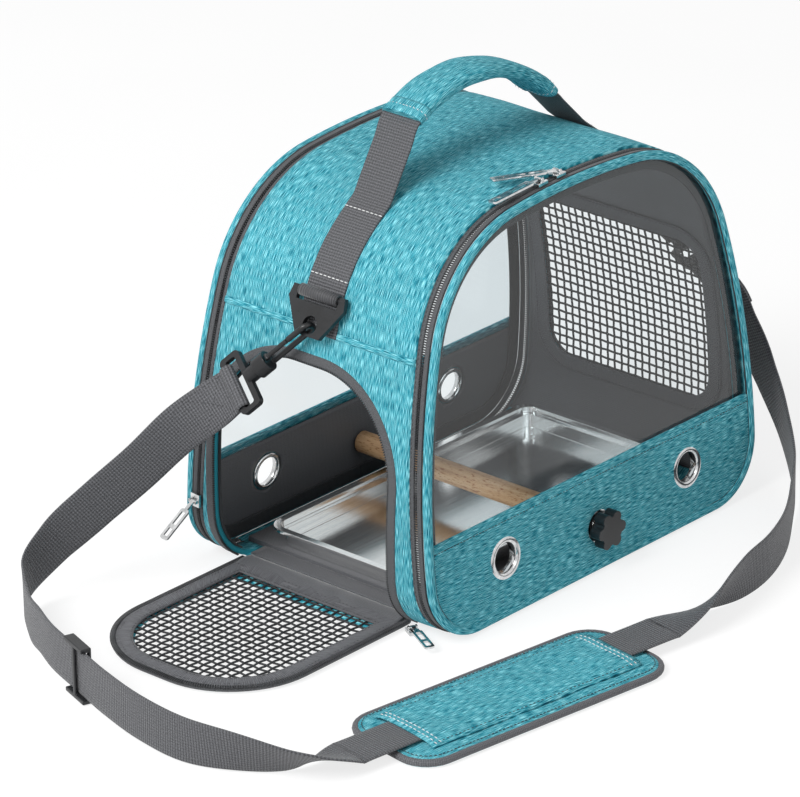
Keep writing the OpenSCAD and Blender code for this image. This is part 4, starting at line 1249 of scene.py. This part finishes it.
TOOTH_HALF = tooth_pattern("tooth_half_pattern", 1.6)
for side, (label, body) in FACES.items():
    piping = sweep(label + "_piping_cord", round_face(side, ring_s, 3.6, 3.4), oval(7.4, 7.2, 14),
                   TEAL, closed=True)
    wear(piping, body, "teal_fabric", label + "_piping")
    for seam, t, y in (("outer", 0.9, 7.0), ("inner", 7.2, 2.4)):
        wear(sweep(f"{label}_piping_{seam}_seam", round_face(side, ring_s, t, y), oval(1.3, 1.3, 6),
                   BINDING, closed=True), body, "dark_lining")
    tape = strip(TAPE_W + 0.6, 1.2)
    for piece_name, y, rides, node in (
            ("_face_zip_tape", PIPING_D + TAPE_W / 2, body, label + "_panel_tape"),
            ("_wall_zip_tape", STRIP - TAPE_W / 2, "carrier", label + "_zip_tape")):
        wear(sweep(label + piece_name, round_face(side, open_s, TAPE_DEEP, y, True), tape, TAPE),
             rides, "grey_tape", node)
    for piece_name, y, rides, node in (
            ("_face_zip_teeth", INNER_COIL_Y, body, label + "_panel_coil"),
            ("_wall_zip_teeth", OUTER_COIL_Y, "carrier", label + "_zip_coil")):
        line = [(o, out) for o, _, out in round_face(side, open_s, TEETH_DEEP, y, True)]
        wear(row(label + piece_name, [line], TOOTH_HALF, TOOTH_STEP, COIL), rides, "coil", node)
    line = [(o, out) for o, _, out in round_face(side, open_s, 0.6, STRIP - 1.4, True)]
    sew(label + "_zip_tape_stitches", line, "carrier", "grey_tape")
print("zips made")

# %% [markdown]
# Below each window is a band of cloth over board, and above it the clear sheet. Both fill the
# ring of piping, so one function makes a plate whose sides follow the profile.

# %% Bands and windows
BAND_TOP, BAND_Y = 84.0, 2.0


# Rows (half width, height) of the space inside inset t, between two heights
def inset_rows(t, z0, z1, rows):
    heights = [z0 + (z1 - z0) * (i / rows) for i in range(rows + 1)]
    return [(wall(s_at(z, t), t)[0].x, z) for z in heights]


def face_plate(name, side, t, z0, z1, y_front, thick, relief, finish, rows=30, columns=44):
    levels = inset_rows(t, z0, z1, rows)

    def at(i, j):
        half, z = levels[i]
        v = 2 * j / columns - 1
        lift = relief(half * v, z, v, 2 * i / rows - 1)
        return (on_face(side, half * v, y_front - lift, z),
                on_face(side, half * v, y_front + thick - lift, z), (half * v, z))

    return shell(name, rows + 1, columns + 1, at, finish)


def band_relief(x, z, v, w):
    edge = (1 - v ** 8) * (1 - w ** 6)
    return edge * (1.3 + 0.35 * math.sin(x / 31) * math.sin(z / 17 + 1))


def sheet_relief(x, z, v, w):
    edge = (1 - v ** 4) * (1 - w ** 4)
    slow, quick = math.sin(x / 63 + 0.6 * math.sin(z / 50)), math.sin(z / 41 + x / 90)
    return edge * (1.1 * slow + 0.7 * quick)


def round_cutter(side, x, z, radius):
    outline = [on_face(side, x + radius * math.cos(math.tau * i / 40), -6,
                       z + radius * math.sin(math.tau * i / 40)) for i in range(40)]
    return prism("round_cutter", outline, face_way(side, 0, 24, 0))


EYELET_X, EYELET_Z, KNOB_Z = 109.0, 48.5, 36.904
# Radii of the hole, the rim in front and the washer behind
EYELET, SCREW_EYELET = (12, 18.5, 15.5), (7, 15, 11)


# Both large holes, and in front the screw's
def band_holes(side, radius, screw_radius):
    holes = [round_cutter(side, x, EYELET_Z, radius) for x in (-EYELET_X, EYELET_X)]
    return holes + ([round_cutter(side, 0, KNOB_Z, screw_radius)] if side < 0 else [])


for side, (label, body) in FACES.items():
    band = face_plate(label + "_cloth_band", side, 5.0, 5.2, BAND_TOP, BAND_Y, 3.9, band_relief,
                      TEAL)
    wear(cut(band, *band_holes(side, EYELET[0] + 1, SCREW_EYELET[0] + 1)), body, "teal_fabric",
         label + "_band")
    backing = face_plate(label + "_band_lining", side, 5.6, 5.8, BAND_TOP - 6.5, BAND_Y + 3.95, 0.5,
                         lambda x, z, v, w: 0.0, LINING, rows=16)
    wear(cut(backing, *band_holes(side, 16.2, 12)), body, "dark_lining")
    window = face_plate(label + "_clear_window", side, 5.5, 78.0, 319.4, 6.1, 0.6, sheet_relief,
                        CLEAR, rows=48)
    outward(window, merge_mm=0.01)
    wear(window, body, "clear_window", label + "_window")
    frames = [(o, -out, -deep) for o, out, deep in round_face(side, ring_s, 10.0, 7.9)]
    wear(sweep(label + "_window_binding", frames, strip(12, 1.6), BINDING, closed=True), body,
         "dark_lining", label + "_binding")
    half = inset_rows(6.0, BAND_TOP, BAND_TOP + 1, 1)[0][0]
    top = [(on_face(side, half * (2 * i / 60 - 1), BAND_Y + 1.6, BAND_TOP), face_way(side, 0, 0, 1),
            face_way(side, 0, -1, 0)) for i in range(61)]
    wear(sweep(label + "_band_top_edge", top, oval(2.0, 2.4, 10), TEAL), body, "teal_fabric")
    line = [(on_face(side, half * 0.985 * (2 * i / 90 - 1), BAND_Y - 0.9, BAND_TOP - 5.5),
             face_way(side, 0, -1, 0)) for i in range(91)]
    sew(label + "_band_top_stitches", line, body, "teal_fabric")
print("bands and windows made")

# %% [markdown]
# The eyelets are spun from thin nickel-plated brass: a domed flange, a barrel through the band,
# and a washer behind. A profile is turned about the eyelet's axis.

# %% Eyelets
def turned(name, middle, across, upward, axis, profile, finish, steps=56):
    frames = []
    for i in range(steps):
        a = math.tau * i / steps
        frames.append((middle, across * math.cos(a) + upward * math.sin(a), axis))
    return sweep(name, frames, profile, finish, closed=True)


# (radius, depth) pairs from the front of the band
def eyelet_profile(hole, rim, back):
    reach = rim - hole
    return [(hole, 5.6), (hole, 0.2), (hole + 0.4, -0.9), (hole + reach * 0.2, -1.6),
            (hole + reach * 0.45, -1.8), (hole + reach * 0.75, -1.3), (hole + reach * 0.95, -0.6),
            (rim, 0.3), (hole + reach * 0.5, 0.5), (hole + 1, 0.8), (hole + 1, 4.1), (back, 4.3),
            (back, 5.2), (hole + 1, 5.7)]


def eyelet(name, side, x, z, radii):
    label, body = FACES[side]
    ring = turned(name, on_face(side, x, BAND_Y, z), face_way(side, 1, 0, 0),
                  face_way(side, 0, 0, 1), face_way(side, 0, 1, 0), eyelet_profile(*radii), NICKEL)
    wear(ring, body, "eyelet_metal", label + "_eyelets")


for side, (label, _) in FACES.items():
    for name, x in (("left", -EYELET_X), ("right", EYELET_X)):
        eyelet(f"{label}_{name}_eyelet", side, x, EYELET_Z, EYELET)
eyelet("perch_screw_eyelet", -1, 0, KNOB_Z, SCREW_EYELET)
for node, finish in (("perch_bolt", STEEL), ("floor_board", BOARD_CLOTH)):
    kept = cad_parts[node].data.materials
    kept.clear()
    kept.append(finish)
print("eyelets turned")

# %% [markdown]
# Cloth strips under each face hold it to the base, and a sill covers the foot of the doorway.

# %% Hinge strips and sill
for side, (label, _) in FACES.items():
    frames = [(on_face(side, FLOOR_X * (2 * i / 40 - 1), (PIPING_D + STRIP) / 2 + 0.2, 1.0),
               face_way(side, 0, 1, 0), UP) for i in range(41)]
    wear(sweep(label + "_hinge_strip", frames, strip(STRIP - PIPING_D - 0.5, 1.5), TEAL),
         "carrier", "teal_fabric", "panel_hinge_strips")
frames = [(Vector((-151.8, DOOR_Y + 87 * (2 * i / 30 - 1), 4.8)), Vector((1, 0, 0)), UP)
          for i in range(31)]
wear(sweep("doorway_sill", frames, strip(17, 1.5), LINING), "carrier", "grey_tape", "door_sill")
print("strips made")

# %% [markdown]
# The doorway's edge is bound with a grey tape, and its half of the zip runs round the arch.

# %% Doorway edge
def on_left_wall(a, b, lift):
    spot, out = wall(FULL - s_at(DOOR_FOOT + b))
    return Vector((spot.x, DOOR_Y + a, DOOR_FOOT + b)) + out * lift, out


def doorway_path(inset, lift):
    spots = [on_left_wall(a, b, lift) for a, b in arch(inset, 4, 30, 20, 6)]
    return [p for p, _ in spots], [out for _, out in spots]


wear(sweep("doorway_tape", surface_frames(*doorway_path(-4.2, 0.6)), strip(8, 1.8), TAPE),
     "carrier", "grey_tape", "door_opening_trim")
wear(row("doorway_zip_teeth", [list(zip(*doorway_path(-0.4, 0.6)))], TOOTH, TOOTH_STEP, COIL),
     "carrier", "coil")
sew("doorway_tape_stitches", list(zip(*doorway_path(-7.0, 1.3))), "carrier", "grey_tape")
wear(sweep("doorway_inner_binding", surface_frames(*doorway_path(-2.5, -5.2)), strip(9, 1.6),
           BINDING), "carrier", "grey_tape")
print("doorway bound")

# %% [markdown]
# The side door lies open on the floor: a fine net in a grey cloth border, a teal border under
# it that shows through the net, and the door's half of the zip on the rim.

# %% Side door
HINGE_X = -165.0


def on_door(a, b, z):
    return Vector((HINGE_X - 2 - b, DOOR_Y + a, z))


def arch_loop(inset, foot, foot_steps=16):
    points = arch(inset, foot)
    half = -points[0][0]
    return points + [(half - 2 * half * i / foot_steps, foot) for i in range(1, foot_steps)]


def between(outer, inner, z, ripple=0.0):
    frames = []
    for i, (p, q) in enumerate(zip(outer, inner)):
        o, n = on_door(*p, z), on_door(*q, z)
        wave = 1 + ripple * math.sin(i * 1.7) * math.sin(i * 0.41)
        frames.append(((o + n) / 2, o - n, UP * wave))
    return frames


# A band of cloth over padding: one wide, flat below and a little domed above
def soft_band(thick, rise, across=8):
    top = [(i / across - 0.5, thick / 2 + rise * (1 - (2 * i / across - 1) ** 2))
           for i in range(across + 1)]
    return top + [(0.5, -thick / 2), (0, -thick / 2), (-0.5, -thick / 2)]


def door_piece(piece, slot_name, *nodes):
    return wear(piece, "side_door", slot_name, *nodes)


under = sweep("door_outer_border_cloth", between(arch_loop(5.5, 0), arch_loop(20, 28), 1.7, 0.2),
              soft_band(1.4, 0.3), TEAL, closed=True)
door_piece(under, "teal_fabric", "door_outer_border")
border = sweep("door_inner_border_cloth", between(arch_loop(5.5, 0.5), arch_loop(19, 23), 4.6, 0.3),
               soft_band(1.2, 0.6), GREY_BINDING, closed=True)
door_piece(border, "grey_tape", "door_inner_border")


def in_door(u, v):
    half, high, r = DOOR_W / 2 - 8, DOOR_TOP - DOOR_FOOT - 8, ARCH_R - 8
    if abs(u) > half or v < 3 or v > high:
        return False
    return abs(u) < half - r or v < high - r or math.hypot(abs(u) - half + r, v - high + r) < r


door_strands = strands_over(-DOOR_W / 2 + 6, DOOR_W / 2 - 6, 3, DOOR_TOP - DOOR_FOOT - 6, NET_PITCH,
                            in_door, lambda a, b, wave: on_door(
                                a, b, 3.1 + wave + 0.5 * math.sin(a / 24) * math.sin(b / 31)))
door_piece(net("door_net_strands", door_strands, DOOR_STRAND), "black_mesh", "door_net")
rim_path = [on_door(a, b, 3.2) for a, b in arch_loop(4.0, 1.5)]
door_piece(sweep("door_rim_tape", surface_frames(rim_path, [UP] * len(rim_path), True),
                 oval(4.2, 4.6, 12), TAPE, closed=True), "coil", "door_rim")
teeth_line = [(on_door(a, b, 4.6), UP) for a, b in arch(3.4, 2, 30, 20, 6)]
door_piece(row("door_zip_teeth", [teeth_line], WIDE_TOOTH, TOOTH_STEP, COIL), "coil")
for name, loop in (("outer", arch_loop(8.5, 3.5)), ("inner", arch_loop(17.2, 21))):
    line = [(on_door(a, b, 5.45), UP) for a, b in loop + loop[:1]]
    sew(f"door_border_{name}_stitches", line, "side_door", "grey_tape")


def hinge_cloth_at(i, j):
    x, y, t = HINGE_X + 3 - 22 * (j / 8), DOOR_Y + 84 * (2 * i / 56 - 1), j / 8
    crumple = 0.7 * math.sin(y / 7 + 2 * math.sin(y / 23) + t * 2) * math.sin(math.pi * t)
    z = 5.2 + 1.4 * math.sin(math.pi * min(1, t * 1.3)) + crumple
    return Vector((x, y, z + 0.4)), Vector((x, y, z - 0.5)), (x, y)


# The flap is shaped over the fold of the door and stays where it is made
hinge_cloth = shell("door_hinge_cloth", 57, 9, hinge_cloth_at, LINING)
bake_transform(hinge_cloth)
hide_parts("door_hinge_flap")
line = [(hinge_cloth_at(i, 7)[0] + UP * 0.1, UP) for i in range(57)]
sew("door_hinge_stitches", line, "side_door", "grey_tape", step_mm=3.8)
print("side door made")

# %% [markdown]
# The handle is one length of webbing over the crown. It is sewn to each shoulder, holds a ring
# there, and runs through a padded sleeve at the top.

# %% Handle webbing
RING_ANGLE = 23.0
SHOULDER_C = Vector((60.0, 0, 205.771))
GRIP_C, GRIP_R = Vector((-14, 0, 254)), 132.0
GRIP_RIGHT, GRIP_LEFT = 45.0, 119.0
BAR_OFF = 6.8
WEB_LIFT = 1.7
# Radii of the webbing's loop round the ring's bar
LOOP_IN, LOOP_OUT = 2.9, 4.8
# Where the webbing starts to leave the shoulder: degrees, and how far it has risen there
LIFTING = ((56, 0.3), (60, 1.0), (64, 2.6))


def round_point(middle, r, degrees):
    a = math.radians(degrees)
    return middle + Vector((math.cos(a), 0, math.sin(a))) * r


def handle_side(sign, grip_degrees):
    path = []
    low = s_at(SEAM_Z - 5)
    join = s_at(round_point(SHOULDER_C, SHOULDER_R, 20).z)
    for i in range(4):
        spot, out = wall(low + (join - low) * i / 4)
        path.append(spot + out * WEB_LIFT)
    path += [round_point(SHOULDER_C, SHOULDER_R + WEB_LIFT, a) for a in range(20, 56, 4)]
    # It leaves the shoulder softly, then runs straight to the grip
    path += [round_point(SHOULDER_C, SHOULDER_R + WEB_LIFT + rise, a) for a, rise in LIFTING]
    if sign < 0:
        path = [Vector((-p.x, 0, p.z)) for p in path]
    into = 14 if sign > 0 else -14
    left_off, grip_end = path[-1], round_point(GRIP_C, GRIP_R, grip_degrees)
    path += [left_off.lerp(grip_end, t) for t in (0.15, 0.4, 0.7, 1.0)]
    path.append(round_point(GRIP_C, GRIP_R, grip_degrees + into))
    spots = [p.xyz for p in spline([(p.x, p.y, p.z, 0) for p in path], 5)]
    outs = []
    for i in range(len(spots)):
        way = (spots[min(i + 1, len(spots) - 1)] - spots[max(i - 1, 0)]).normalized()
        outs.append(way.cross(Vector((0, -sign, 0))))
    name = "right" if sign > 0 else "left"
    return sweep(f"handle_webbing_{name}", surface_frames(spots, outs),
                 strip(WEB_W, WEB_T, ACROSS_WEB), WEBBING)


for sign, degrees in ((1, GRIP_RIGHT), (-1, GRIP_LEFT)):
    label = "right" if sign > 0 else "left"
    wear(handle_side(sign, degrees), "carrier", "dark_webbing", "handle_webbing")
    bar = round_point(SHOULDER_C, SHOULDER_R + BAR_OFF, RING_ANGLE)
    bar.x *= sign
    half = WEB_W / 2
    loop = turned(f"{label}_ring_loop", bar, Vector((1, 0, 0)), UP, Vector((0, 1, 0)),
                  [(LOOP_IN, -half), (LOOP_OUT, -half), (LOOP_OUT + 0.1, 0), (LOOP_OUT, half),
                   (LOOP_IN, half)], WEBBING, 28)
    wear(loop, "carrier", "dark_webbing")
    lines = []
    for a, rise in ((30, 0), (58, 0.6)):
        line = []
        for k in range(9):
            p = round_point(SHOULDER_C, SHOULDER_R + WEB_LIFT + WEB_T / 2 + 0.1 + rise, a)
            out = round_point(Vector((0, 0, 0)), 1, a)
            p.x, p.y, out.x = p.x * sign, 17 * (k / 4 - 1), out.x * sign
            line.append((p, out))
        lines.append(line)
    wear(row(f"{label}_shoulder_stitches", lines, STITCH, 4.2, THREAD), "carrier", "dark_webbing")
print("handle webbing made")

# %% [markdown]
# The padded sleeve is a folded piece of the outer cloth: round on top, with the two edges meeting
# along the underside. It is swept along the arc of the hand, with soft dents and a hem at each
# end.

# %% Padded grip
GRIP_T, GRIP_W = 14.0, 40.0
GRIP_STEPS, HEM_STEPS = 80, 6


def grip_section(n=36):
    points = []
    for i in range(n):
        a = math.tau * i / n
        c, s = math.cos(a), math.sin(a)
        x = GRIP_W / 2 * math.copysign(abs(c) ** 0.75, c)
        y = GRIP_T / 2 * math.copysign(abs(s) ** 0.75, s)
        if s < 0:
            y += 3.4 * math.exp(-((x - 3) / 2.2) ** 2)
        points.append((x, y))
    return points


frames = []
for i in range(GRIP_STEPS + 1):
    t = i / GRIP_STEPS
    degrees = GRIP_RIGHT + (GRIP_LEFT - GRIP_RIGHT) * t
    dent = 1 + 0.05 * math.sin(t * 19) * math.sin(t * 7 + 1) - 0.16 * abs(2 * t - 1) ** 9
    wide = 1 - 0.035 * math.sin(t * 11 + 0.5) ** 2
    out = round_point(Vector((0, 0, 0)), 1, degrees)
    frames.append((round_point(GRIP_C, GRIP_R, degrees), Vector((0, wide, 0)), out * dent))
grip = sweep("padded_grip_sleeve", frames, grip_section(), TEAL)
wear(grip, "carrier", "teal_fabric", "handle_grip")
for name, first, last in (("right", 0, HEM_STEPS),
                          ("left", GRIP_STEPS - HEM_STEPS, GRIP_STEPS)):
    hem_frames = [(o, side * 1.015, out * 1.05) for o, side, out in frames[first:last + 1]]
    hem_piece = sweep(f"grip_{name}_hem", hem_frames, grip_section(), TEAL)
    wear(hem_piece, "carrier", "teal_fabric")
    middle = frames[(first + last) // 2]
    loop = [(middle[0] + middle[1] * (a * 1.02) + middle[2] * (b * 1.06),
             (middle[1] * a + middle[2] * b).normalized()) for a, b in grip_section()]
    sew(f"grip_{name}_hem_stitches", loop + loop[:1], "carrier", "teal_fabric", thread=THREAD)
print("grip made")

# %% [markdown]
# The patterns that were repeated aren't part of the object, so they go.

# %% Finish
for pattern in (STITCH, FINE_STITCH, TOOTH, WIDE_TOOTH, TOOTH_HALF):
    bpy.data.objects.remove(pattern)
for box in bpy.data.node_groups:
    print("tree", box.name, "has", len(box.nodes), "nodes")
shown = [o for o in scene.objects if o.type == "MESH" and not o.hide_render]
print(len(shown), "shown pieces")
